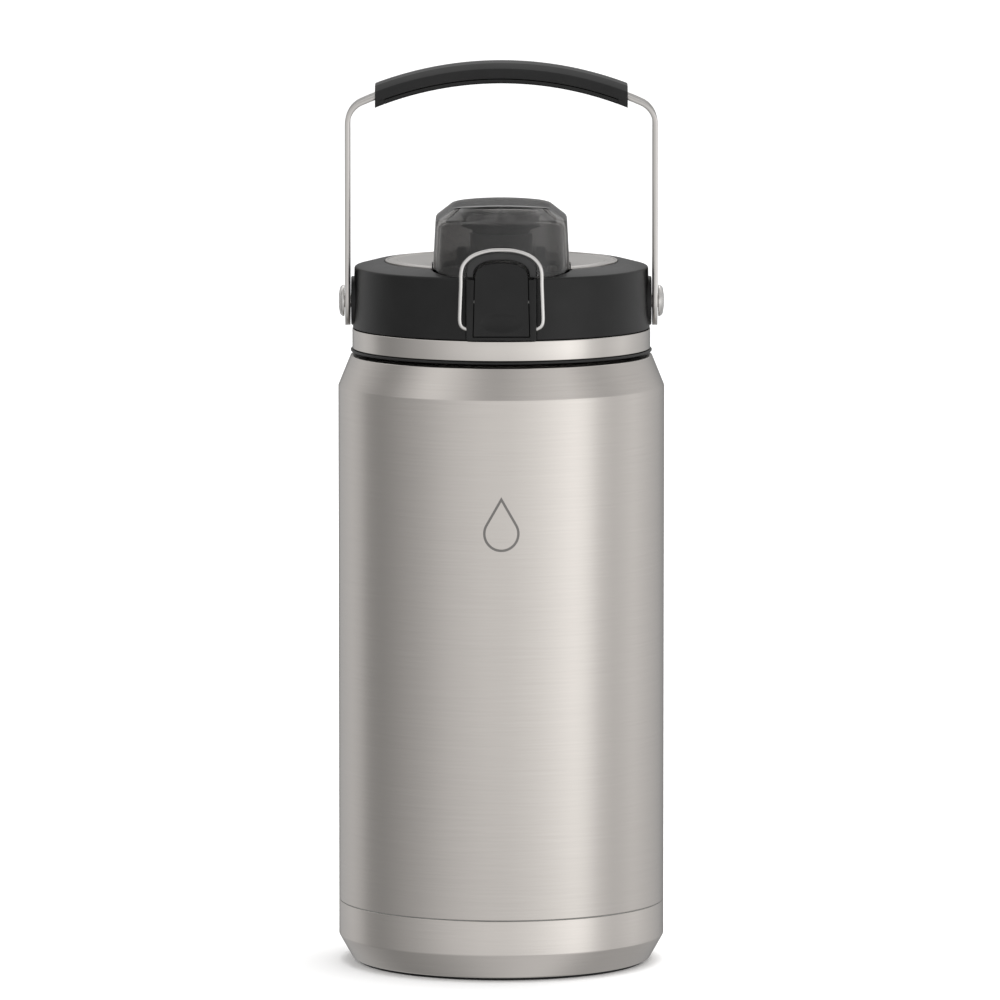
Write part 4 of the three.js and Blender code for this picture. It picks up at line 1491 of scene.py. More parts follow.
    def band(self) -> bmesh.types.BMesh:
        """The steel band round the foot of the lid.

        Returns:
            The band.
        """
        low, high = measured("lid_band")
        inner, outer, edge = 54.0, high.x, 0.3
        return turned(
            [
                Corner(inner, low.z),
                Corner(outer, low.z, edge),
                Corner(outer, high.z, edge),
                Corner(inner, high.z),
            ],
            closed=True,
        )

    def inlay(self) -> bmesh.types.BMesh:
        """The thin steel disc let into the deck.

        Returns:
            The disc.
        """
        low, high = measured("top_disc")
        top = high.z
        disc = turned(
            [
                Corner(0, low.z),
                Corner(self.disc, low.z),
                Corner(self.disc, top, 0.2),
                Corner(self.disc - 0.7, top, 0.1),
                Corner(self.disc - 0.9, top - 0.4),
                Corner(self.disc - 1.7, top - 0.4, 0.2),
                Corner(self.disc - 4.4, top - 0.22, 0.5),
                Corner(self.disc - 4.7, top, 0.2),
                Corner(0, top),
            ]
        )
        tools = [
            self.plan.prism(-0.35, 250, 270),
            block((-13.1, -60, 250), (13.1, -38, 270)),
            block((-18, -10, 250), (18, 4, 270)),
        ]
        return carved(disc, tools)

    def spout(self) -> bmesh.types.BMesh:
        """The drinking spout, narrower above its collar.

        Returns:
            The spout.
        """
        return turned(
            [
                Corner(9.8, 251.6),
                Corner(17, 251.6),
                Corner(17, 253.4),
                Corner(14.5, 254.6),
                Corner(14.5, 261, 0.5),
                Corner(11.3, 262, 0.8),
                Corner(11.3, 271.6, 0.4),
                Corner(10.2, 271.6, 0.3),
                Corner(9.8, 270.8, 0.3),
            ],
            closed=True,
            segments=MEDIUM,
            centre=(0, self.spout_y, 0),
        )

    def vent(self) -> bmesh.types.BMesh:
        """The small silicone vent beside the spout.

        Returns:
            The vent.
        """
        return turned(
            [
                Corner(0, 254.0),
                Corner(1.9, 254.0, 0.2),
                Corner(1.9, 254.9),
                Corner(1.2, 254.9),
                Corner(1.2, 257.6),
                Corner(2.5, 257.6, 0.2),
                Corner(1.6, 259.5, 0.5),
                Corner(0, 259.5),
            ],
            segments=48,
            centre=(18.9, self.spout_y, 0),
        )

    def gasket(self) -> bmesh.types.BMesh:
        """The ring that seals on the vessel's rim.

        Returns:
            The ring.
        """
        low, high = measured("lid_gasket")
        inner, outer, edge = 44.6, high.x, 0.3
        return turned(
            [
                Corner(inner, low.z, edge),
                Corner(outer, low.z, edge),
                Corner(outer, high.z, edge),
                Corner(inner, high.z, edge),
            ],
            closed=True,
        )

    def rivet(self, axis: Axis) -> bmesh.types.BMesh:
        """One handle rivet with its domed head.

        Args:
            axis: Which way the rivet points.

        Returns:
            The rivet, closed at its axis.
        """
        return turned(
            [
                Corner(0, 52),
                Corner(2.5, 52),
                Corner(2.5, 57.7),
                Corner(5.8, 57.7, 0.2),
                Corner(5.8, 58.3, 0.3),
                Corner(5.0, 59.3, 1.4),
                Corner(2.4, 59.75, 2.0),
                Corner(0, 59.8),
            ],
            segments=MEDIUM,
            centre=(0, 0, self.pivot),
            axis=axis,
        )

    def pin(self) -> bmesh.types.BMesh:
        """The cap's hinge pin, chamfered at both ends."""
        corners = [Corner(0, -16.8), Corner(1, -16.8, 0.3), Corner(1, 16.8, 0.3), Corner(0, 16.8)]
        return turned(corners, segments=32, centre=(0, 0, self.hinge), axis=Axis.RIGHT)

    def spring(self) -> bmesh.types.BMesh:
        """The torsion spring round the middle of the hinge pin.

        Returns:
            The coil.
        """
        length = 6.4
        steps = 160
        turn = [2 * math.pi * 5 * i / steps for i in range(steps + 1)]
        path = [
            Vector((length * (i / steps - 0.5), 2 * math.cos(a), self.hinge + 2 * math.sin(a)))
            for i, a in enumerate(turn)
        ]
        return swept(path, 0.35, 10)


# ------------------------------------------------------------------ flip cap


@dataclass
class FlipCap:
    """The smoke cap over the spout, with the dark arch in its front wall and its seal.

    Attributes:
        finishes: The finishes.
        plan: The cap's outline.
        crown: Height of the middle of the roof.
        fall: How far the roof falls from the middle to 17.2 mm out.
        run: Width of the chamfer between wall and roof.
        chamfer: Height of the foot of that chamfer.
        back_share: Share of the chamfer's width that the back gets.
        middle: Depth of the middle of the roof.
        arch_half: Half of the width of the dark arch.
        arch_shoulder: Height where the arch starts to bend.
        arch_top: Height of the top of the arch.
        wall: Thickness of the walls.
        hinge: Height of the hinge.
    """

    finishes: Finishes
    plan: CapPlan
    crown: float = 283.3
    fall: float = 1.15
    run: float = 6.0
    chamfer: float = 277.4
    back_share: float = 0.35
    middle: float = -28.0
    arch_half: float = field(init=False)
    arch_shoulder: float = 260.6
    arch_top: float = field(init=False)
    wall: float = 2.0
    hinge: float = field(init=False)

    def __post_init__(self) -> None:
        """Reads the sizes that the frame fixes."""
        high = measured("cap_frame")[1]
        self.arch_half, self.arch_top = high.x, high.z
        self.hinge = middle_of("cap_hinge_pin").z

    def build(self) -> None:
        """Builds and places every piece of the cap."""
        smoke = self.finishes.smoke
        arch = self.finishes.arch_plastic
        seal = self.finishes.black_silicone
        cap = Body.CAP
        put(
            Piece("cap_dome", self.dome(), smoke, cap, "smoke_plastic", ("cap_shell",), 38),
            Piece("cap_knuckles", self.knuckles(), smoke, cap, "smoke_plastic", (), 40),
            Piece("cap_frame_surface", self.arch(), arch, cap, "black_plastic", ("cap_frame",), 30),
            Piece("spout_seal_surface", self.seal(), seal, cap, "black_silicone", ("spout_seal",)),
        )

    def roof(self, x: float, top: float) -> float:
        """Height of a roof at a distance from its middle, from the height of that middle."""
        return top - self.fall * (x / 17.2) ** 2

    def levels(self, inset: float) -> list[tuple[float, float, float]]:
        """The rings from the foot over the chamfer to the edge of the roof.

        Args:
            inset: How far this face lies inside the outer one.

        Returns:
            For each ring its inset, its height, and its share of the roof's fall.
        """
        top = self.crown - inset
        corners = [
            Corner(0, self.plan.foot),
            Corner(0, self.chamfer - inset * 0.6, 3.0),
            Corner(self.run, top - 0.2, 1.0),
            Corner(self.run + 1.4, top),
        ]
        tall = self.chamfer - 5 - self.plan.foot
        walls = [(0.0, self.plan.foot + tall * i / 5, 0.0) for i in range(1, 5)]
        bend = [(p.x, p.y, min(1.0, p.x / self.run)) for p in rounded(corners, False, 5)[1:]]
        return [(0.25, self.plan.foot, 0.0), (0.0, self.plan.foot + 0.3, 0.0), *walls, *bend]

    def skin(self, bm: bmesh.types.BMesh, inset: float, foot: Ring | None = None) -> Ring:
        """Lays one face of the cap, from its foot to the middle of its roof.

        Args:
            bm: The mesh to add it to.
            inset: How far this face lies inside the outer one.
            foot: The other face's ring at the foot, which this face is joined to.

        Returns:
            This face's ring at the foot.
        """
        rings: list[list[Vector]] = []
        for drawn_in, height, fall in self.levels(inset):
            plan = self.plan.ring(inset + drawn_in, height, 1.0 if drawn_in == 0 else self.back_share)
            rings.append([Vector((x, y, height - fall * (height - self.roof(x, height)))) for x, y in plan])
        edge = rings[-1]
        top = self.crown - inset
        for step in range(1, 10):
            share = 1 - step / 10
            plan = [(p.x * share, self.middle + (p.y - self.middle) * share) for p in edge]
            rings.append([Vector((x, y, self.roof(x, top))) for x, y in plan])
        if foot is None:
            ring = [bm.verts.new(point * MM) for point in rings[0]]
            first = ring, [bm.edges.new(pair) for pair in zip(ring, ring[1:] + ring[:1])]
        else:
            first = grown(bm, foot, rings[0])
        last = first
        for points in rings[1:]:
            last = grown(bm, last, points)
        tip = Vector((0, self.middle, top))
        ring, _ = grown(bm, last, [tip] * len(rings[0]))
        bmesh.ops.pointmerge(bm, verts=ring, merge_co=tip * MM)
        return first

    def dome(self) -> bmesh.types.BMesh:
        """The cap's wall and roof, open below, with the seat of the arch cut through its front.

        Returns:
            The dome.
        """
        bm = bmesh.new()
        self.skin(bm, self.wall, self.skin(bm, 0.0))
        tidy(bm)
        gap = 0.3
        outline = hoop(self.arch_half + gap, self.plan.foot - 2, self.arch_shoulder, self.arch_top + gap)
        return carved(bm, [plate(outline, -60, -48)])

    def knuckles(self) -> bmesh.types.BMesh:
        """The two hinge barrels and the webs that carry them.

        Returns:
            Both barrels and webs in one mesh.
        """
        barrel = [Corner(1.3, 4, 0.1), Corner(2.6, 4, 0.3), Corner(2.6, 12.5, 0.3), Corner(1.3, 12.5, 0.1)]
        parts = []
        for sign, axis in ((-1, Axis.LEFT), (1, Axis.RIGHT)):
            parts.append(turned(barrel, closed=True, segments=48, centre=(0, 0, self.hinge), axis=axis))
            low, high = sorted((sign * 4.2, sign * 12.3))
            parts.append(block((low, -4.0, self.hinge - 1.4), (high, -1.8, self.hinge + 1.4), 0.3))
        return joined(parts)

    def arch(self) -> bmesh.types.BMesh:
        """The dark arch in the cap's front wall, round the head of the button.

        Returns:
            The arch.
        """
        low, high = measured("cap_frame")
        front, back, foot = low.y, high.y, low.z
        bm = bmesh.new()
        rails = []
        for path in (
            hoop(self.arch_half, foot, self.arch_shoulder, self.arch_top),
            hoop(10.0, foot, 258.6, 264.1),
        ):
            verts = [bm.verts.new((x * MM, front * MM, z * MM)) for x, z in path]
            rails.append([bm.edges.new(pair) for pair in zip(verts, verts[1:])])
        bmesh.ops.bridge_loops(bm, edges=rails[0] + rails[1])
        behind = bmesh.ops.extrude_face_region(bm, geom=bm.faces[:], use_keep_orig=True)
        moved = [v for v in behind["geom"] if isinstance(v, bmesh.types.BMVert)]
        bmesh.ops.translate(bm, vec=(0, (back - front) * MM, 0), verts=moved)
        tidy(bm)
        soften(bm, 0.5, 50)
        return bm

    def seal(self) -> bmesh.types.BMesh:
        """The soft funnel under the roof, whose plug closes the spout.

        Returns:
            The funnel, closed at its axis.
        """
        top = 280.0
        return turned(
            [
                Corner(0, 269.5),
                Corner(8.1, 269.5, 0.6),
                Corner(9.2, 271.2, 0.3),
                Corner(10.2, 272.0, 0.4),
                Corner(14.9, 279.2, 0.5),
                Corner(14.9, top, 0.3),
                Corner(0, top),
            ],
            segments=MEDIUM,
            centre=(0, middle_of("spout").y, 0),
        )


# ------------------------------------------------------------------ latch


@dataclass
class Latch:
    """The release button in its housing, and the lock wire over it.

    Attributes:
        frame: The loaded frame.
        finishes: The finishes.
        foot: Height of the housing's foot.
        head: Height of the housing's top.
        front_foot: Depth of its front at the foot.
        front_head: Depth of its front at the top.
        half: Half of the housing's width.
        wire: Radius of the lock wire.
        wire_pivot: Depth and height of the wire's ends.
    """

    frame: dict
    finishes: Finishes
    foot: float = field(init=False)
    head: float = field(init=False)
    front_foot: float = field(init=False)
    front_head: float = -56.4
    half: float = field(init=False)
    wire: float = 0.75
    wire_pivot: tuple[float, float] = (-56.6, 239.2)

    def __post_init__(self) -> None:
        """Reads the sizes that the frame fixes."""
        low, high = measured("latch_housing")
        self.foot, self.head = low.z, high.z
        self.front_foot, self.half = low.y, high.x

    def build(self) -> None:
        """Builds and places every piece of the latch."""
        black = self.finishes.black_plastic
        bright = self.finishes.bright_steel
        lid, button, wire = Body.LID, Body.BUTTON, Body.WIRE
        put(
            Piece("latch_rails", self.rails(), black, lid, "black_plastic", ("latch_housing",)),
            Piece("button_face", self.button(), black, button, "black_plastic", ("release_button",), 40),
            Piece("lock_wire_surface", self.lock_wire(), bright, wire, "bright_steel", ("lock_wire",), 60),
            Piece("button_pin_surface", self.pin(), bright, lid, "bright_steel", ("button_pin",)),
            Piece("button_spring_surface", self.spring(), bright, lid, "bright_steel", ("button_spring",)),
        )

    def front(self, z: float) -> float:
        """Depth of the leaning front at a height."""
        share = (z - self.foot) / (self.head - self.foot)
        return self.front_foot + (self.front_head - self.front_foot) * share

    def rails(self) -> bmesh.types.BMesh:
        """The housing: two rails, a sill under the button and a wall behind it.

        Returns:
            The housing.
        """
        low, high = self.foot, self.head
        outline = [
            (-self.half, low),
            (self.half, low),
            (self.half, high),
            (9.85, high),
            (10.4, low + 1.2),
            (-10.4, low + 1.2),
            (-9.85, high),
            (-self.half, high),
        ]
        rails = plate(outline, -60, -51.0)

        def lean(p: Vector) -> Vector:
            """Lays the front face back."""
            return Vector((p.x, self.front(p.z) if p.y < -59.9 else p.y, p.z))

        shaped(rails, lean)
        soften(rails, 0.35, 50)
        back = block((-11, -51.8, low + 0.4), (11, -50.9, high - 0.4), 0.2)
        return joined([rails, back])

    def button(self) -> bmesh.types.BMesh:
        """The button: a leaning plate with an arched head and a shallow dish for the thumb.

        Returns:
            The button.
        """
        least, most = measured("release_button")
        low, shoulder, crown = least.z, 258.2, most.z
        half_low, half_high = most.x, 9.55
        thickness = 2.2
        bm = bmesh.new()
        bmesh.ops.create_grid(bm, x_segments=44, y_segments=60, size=1.0)

        def face_point(vert: bmesh.types.BMVert) -> Vector:
            """Where a grid point lies on the button's face.

            Args:
                vert: A vertex of the grid, from -1 to 1 both ways.

            Returns:
                The place, in metres.
            """
            u, v = vert.co.x, (vert.co.y + 1) / 2
            top = shoulder + (crown - shoulder) * (1 - abs(u) ** 2.3) ** (1 / 2.3)
            z = low + (top - low) * v
            x = u * (half_low + (half_high - half_low) * min(1, (z - low) / (shoulder - low)))
            dish = math.hypot(x / 7.6, (z - 241.6) / 3.4)
            dent = 0.55 * max(0.0, 1 - dish**2) ** 0.8
            return Vector((x, self.front(z) + 0.2 + dent, z)) * MM

        for vert in bm.verts:
            vert.co = face_point(vert)
        behind = bmesh.ops.extrude_face_region(bm, geom=bm.faces[:], use_keep_orig=True)
        for item in behind["geom"]:
            if isinstance(item, bmesh.types.BMVert):
                item.co.y = (self.front(item.co.z / MM) + 0.2 + thickness) * MM
        tidy(bm)
        soften(bm, 0.35, 60)
        return bm

    def lock_wire(self) -> bmesh.types.BMesh:
        """The bright wire hoop, from one hole in the housing round to the other.

        Returns:
            The wire.
        """
        depth, height = self.wire_pivot
        top, top_depth = 268.0, -56.0
        half = [
            (11.6, height),
            (12.0, height),
            (14.13, height + 0.87),
            (15.0, height + 3),
            (14.9, 248),
            (14.65, 255),
            (14.5, 260),
            (13.3, 263.2),
            (10.2, 265.9),
            (5.2, 267.6),
        ]

        def lean(z: float) -> float:
            """Depth of the wire at a height."""
            return depth + (top_depth - depth) * (z - height) / (top - height)

        left = [Vector((-x, lean(z), z)) for x, z in half]
        right = [Vector((x, lean(z), z)) for x, z in reversed(half)]
        return swept(smooth_path([*left, Vector((0, top_depth, top)), *right]), self.wire, 20)

    def pin(self) -> bmesh.types.BMesh:
        """The pin that the button rocks on."""
        corners = [Corner(0, -12), Corner(0.8, -12, 0.2), Corner(0.8, 12, 0.2), Corner(0, 12)]
        return turned(corners, segments=32, centre=middle_of("button_pin"), axis=Axis.RIGHT)

    def spring(self) -> bmesh.types.BMesh:
        """The coil spring behind the foot of the button.

        Returns:
            The coil.
        """
        steps = 90
        turn = [2 * math.pi * 3 * i / steps for i in range(steps + 1)]
        path = [
            Vector((2.3 * math.cos(a), -52.4 - 2.0 * i / steps, 240.5 + 2.3 * math.sin(a)))
            for i, a in enumerate(turn)
        ]
        return swept(path, 0.28, 10)


# ------------------------------------------------------------------ handle


@dataclass
class Handle:
    """The flat steel strap and the grip on its arc.

    Attributes:
        finishes: The finishes.
        pivot: Height of its pivots.
        width: Width of the strap.
        thickness: Thickness of the strap.
        outer: Distance of the strap's outer face from the middle.
        arc: Outer radius of the strap's long arc.
        centre: Height of that arc's centre.
        bend: Outer radius of the bends.
        grip_top: Radius of the grip's top.
        grip_under: Radius of the grip's underside.
        split: Radius of the parting line between the grip's halves.
        depth: Half of the grip's width.
        reach: Half of the grip's length.
        tray: Half of the length of the grip's lower half.
    """

    finishes: Finishes
    pivot: float = field(init=False)
    width: float = field(init=False)
    thickness: float = 1.9
    outer: float = field(init=False)
    arc: float = 128.5
    centre: float = field(init=False)
    bend: float = 9.5
    grip_top: float = field(init=False)
    grip_under: float = 124.15
    split: float = 125.6
    depth: float = field(init=False)
    reach: float = field(init=False)
    tray: float = field(init=False)

    def __post_init__(self) -> None:
        """Reads the sizes that the frame fixes."""
        low, high = measured("handle_strap")
        self.width, self.outer = high.y - low.y, high.x
        self.centre = round(high.z - self.arc, 3)
        self.pivot = middle_of("rivet_left").z
        grip = measured("grip_upper")[1]
        self.grip_top = round(grip.z - self.centre, 3)
        self.depth, self.reach = grip.y, grip.x
        self.tray = measured("grip_lower")[1].x

    def build(self) -> None:
        """Builds and places every piece of the handle."""
        steel = self.finishes.satin_steel
        grip = self.finishes.soft_grip
        lower = self.finishes.black_plastic
        hand = Body.HANDLE
        put(
            Piece("strap_surface", self.strap(), steel, hand, "plain_steel", ("handle_strap",), 60),
            Piece("grip_upper_surface", self.upper(), grip, hand, "soft_grip", ("grip_upper",), 40),
            Piece("grip_lower_surface", self.lower(), lower, hand, "black_plastic", ("grip_lower",), 40),
        )

    def centreline(self) -> list[Vector]:
        """The strap's centreline from one foot over the arc to the other.

        Returns:
            The points, in millimetres.
        """
        half = self.thickness / 2
        bend_x = self.outer - self.bend
        bend_z = self.centre + math.sqrt((self.arc - self.bend) ** 2 - bend_x**2)
        meet = math.atan2(bend_z - self.centre, bend_x)
        edge = self.outer - half
        foot = self.width / 2
        side = [Vector((edge, 0, self.pivot - foot * math.cos(math.pi / 2 * i / 10))) for i in range(10)]
        side += [Vector((edge, 0, self.pivot + (bend_z - self.pivot) * i / 12)) for i in range(12)]
        radius = self.bend - half
        for i in range(11):
            angle = meet * i / 10
            side.append(Vector((bend_x + radius * math.cos(angle), 0, bend_z + radius * math.sin(angle))))
        radius = self.arc - half
        for i in range(1, 21):
            angle = meet + (math.pi / 2 - meet) * i / 20
            side.append(Vector((radius * math.cos(angle), 0, self.centre + radius * math.sin(angle))))
        return [*side, *[Vector((-p.x, 0, p.z)) for p in reversed(side[:-1])]]

    def strap(self) -> bmesh.types.BMesh:
        """The strap: a flat section with rounded edges, swept along its centreline.

        Returns:
            The strap, with its ends closed.
        """
        path = self.centreline()
        bm = bmesh.new()
        bmesh.ops.create_circle(bm, cap_ends=False, segments=40, radius=1.0)
        order = [math.atan2(v.co.y, v.co.x) for v in bm.verts]
        ring = bm.verts[:]
        edges = bm.edges[:]

        def lay(verts: list[bmesh.types.BMVert], index: int) -> None:
            """Shapes one ring as the strap's section at a point of the path.

            Args:
                verts: The ring.
                index: The point's place in the path.
            """
            here = path[index]
            along = (path[min(index + 1, len(path) - 1)] - path[max(index - 1, 0)]).normalized()
            across = Vector((along.z, 0, -along.x))
            below = max(0.0, self.pivot - here.z)
            half_width = math.sqrt(max(0.0025, (self.width / 2) ** 2 - below**2))
            for vert, angle in zip(verts, order):
                c, s = math.cos(angle), math.sin(angle)
                flat = math.copysign(abs(c) ** 0.12, c) * self.thickness / 2
                wide = math.copysign(min(1.0, abs(s) ** 0.3), s) * half_width
                vert.co = (here + across * flat + Vector((0, wide, 0))) * MM

        lay(ring, 0)
        for index in range(1, len(path)):
            ring, edges = grown(bm, (ring, edges))
            lay(ring, index)
        bmesh.ops.holes_fill(bm, edges=[e for e in bm.edges if e.is_boundary], sides=0)
        return tidy(bm)

    def arched(
        self, section: Sequence[tuple[float, float]], low: float, high: float, steps: int
    ) -> bmesh.types.BMesh:
        """A section in radius and depth, spun along the arc and cut off upright.

        Args:
            section: The section's corners as (radius, depth).
            low: Where it is cut on the left.
            high: Where it is cut on the right.
            steps: Steps along the arc.

        Returns:
            The arched bar.
        """
        bm = bmesh.new()
        verts = [bm.verts.new((0, y * MM, (self.centre + r) * MM)) for r, y in section]
        face = bm.faces.new(verts)
        centre = (0, 0, self.centre * MM)
        start = math.asin((low - 3) / self.grip_under)
        stop = math.asin((high + 3) / self.grip_under)
        bmesh.ops.rotate(bm, verts=verts, cent=centre, matrix=Matrix.Rotation(start, 3, "Y"))
        bmesh.ops.spin(bm, geom=[face], axis=(0, 1, 0), cent=centre, angle=stop - start, steps=steps)
        tidy(bm)
        for x, normal in ((low, -1), (high, 1)):
            everything = bm.verts[:] + bm.edges[:] + bm.faces[:]
            bmesh.ops.bisect_plane(
                bm, geom=everything, plane_co=(x * MM, 0, 0), plane_no=(normal, 0, 0), clear_outer=True
            )
            bmesh.ops.holes_fill(bm, edges=[e for e in bm.edges if e.is_boundary], sides=0)
        return tidy(bm)

    def upper(self) -> bmesh.types.BMesh:
        """The grip's upper half, with a chamfered top and its two end tabs.

        Returns:
            The upper half.
        """
        top, depth = self.grip_top, self.depth
        profile = [
            Corner(self.split + 0.3, depth - 0.1, 0.2),
            Corner(top - 2.3, depth, 0.6),
            Corner(top - 0.25, depth - 3.4, 1.6),
            Corner(top, 0, 20),
            Corner(top - 0.25, -depth + 3.4, 1.6),
            Corner(top - 2.3, -depth, 0.6),
            Corner(self.split + 0.3, -depth + 0.1, 0.2),
        ]
        section = [(p.x, p.y) for p in rounded(profile, True, 4)]
        bar = self.arched(section, -self.reach, self.reach, 72)
        soften_ends(bar, self.reach, 0.5)
        tabs = []
        for low, high in ((-self.reach, -self.tray - 0.05), (self.tray + 0.05, self.reach)):
            square = [
                (self.grip_under, depth - 0.6),
                (self.grip_under, -depth + 0.6),
                (self.split + 0.6, -depth + 0.2),
                (self.split + 0.6, depth - 0.2),
            ]
            tab = self.arched(square, low, high, 8)
            soften(tab, 0.3, 50)
            tabs.append(tab)
        return joined([bar, *tabs])

    def lower(self) -> bmesh.types.BMesh:
        """The grip's lower half, with a fine row of notches along its edges.

        Returns:
            The lower half.
        """
        depth = self.depth - 0.2
        section = [
            (self.grip_under, -depth + 0.4),
            (self.grip_under + 0.4, -depth),
            (self.split, -depth),
            (self.split, depth),
            (self.grip_under + 0.4, depth),
            (self.grip_under, depth - 0.4),
        ]
        bar = self.arched(section, -self.tray, self.tray, 216)
        pitch = 0.95
        cut = 0.3

        def notch(p: Vector) -> Vector:
            """Draws every other stretch of the edges in.

            Args:
                p: A point of the bar, in millimetres.

            Returns:
                Its new place.
            """
            if abs(p.y) < depth - 0.3 or abs(p.x) > self.tray - 0.4:
                return p
            inset = cut if math.sin(2 * math.pi * p.x / pitch) > 0 else 0.0
            return Vector((p.x, p.y - math.copysign(inset, p.y), p.z))

        return shaped(bar, notch)


def soften_ends(bm: bmesh.types.BMesh, reach: float, radius: float) -> None:
    """Bevels the edges of the two upright end faces of a bar.

    Args:
        bm: The bar, changed in place.
        reach: Distance of the end faces from the middle, in millimetres.
        radius: Width of the bevel, in millimetres.
    """
    ends = [
        face
        for face in bm.faces
        if abs(abs(face.calc_center_median().x) - reach * MM) < 1e-5 and abs(face.normal.x) > 0.9
    ]
    edges = {e for f in ends for e in f.edges if e.calc_face_angle(0) > math.radians(35)}
    bmesh.ops.bevel(
        bm, geom=list(edges), offset=radius * MM, segments=3, profile=0.5, affect="EDGES", material=-1,
        clamp_overlap=True,
    )


# ------------------------------------------------------------------ studio

# Brightness of the room by bearing in degrees, where 0 is the camera's side and 90 the right, at the jug's
# level, above it and below it: tall soft lights stand right of the camera and behind the jug on both sides,
# with darker gaps between them.
LEVEL_LIGHT = (
    (-180, 0.16),
    (-170, 0.25),
    (-160, 0.49),
    (-146, 0.60),
    (-132, 0.72),
    (-120, 0.66),
    (-108, 0.41),
    (-96, 0.355),
    (-84, 0.405),
    (-60, 0.57),
    (-36, 0.82),
    (-12, 0.98),
    (6, 1.01),
    (24, 1.16),
    (40, 1.37),
    (54, 1.55),
    (64, 1.36),
    (74, 0.94),
    (86, 0.79),
    (108, 0.94),
    (121, 0.80),
    (145, 0.56),
    (160, 0.37),
    (170, 0.24),
    (180, 0.16),
)
UPPER_LIGHT = (
    (-180, 0.84),
    (-168, 0.80),
    (-156, 0.62),
    (-135, 0.70),
    (-120, 0.60),
    (-100, 0.38),
    (-90, 0.44),
    (-62, 0.98),
    (-52, 1.00),
    (-40, 0.88),
    (-14, 0.57),
    (0, 0.55),
    (27, 0.75),
    (56, 0.92),
    (68, 0.74),
    (84, 0.56),
    (110, 0.70),
    (145, 0.62),
    (166, 0.80),
    (180, 0.84),
)
LOWER_LIGHT = (
    (-180, 0.40),
    (-161, 0.46),
    (-143, 0.50),
    (-123, 0.38),
    (-108, 0.31),
    (-90, 0.37),
    (-61, 0.50),
    (-22, 0.67),
    (0, 0.71),
    (43, 0.82),
    (61, 0.85),
    (76, 0.73),
    (90, 0.54),
    (102, 0.49),
    (123, 0.52),
    (143, 0.49),
    (161, 0.43),
    (180, 0.40),
)


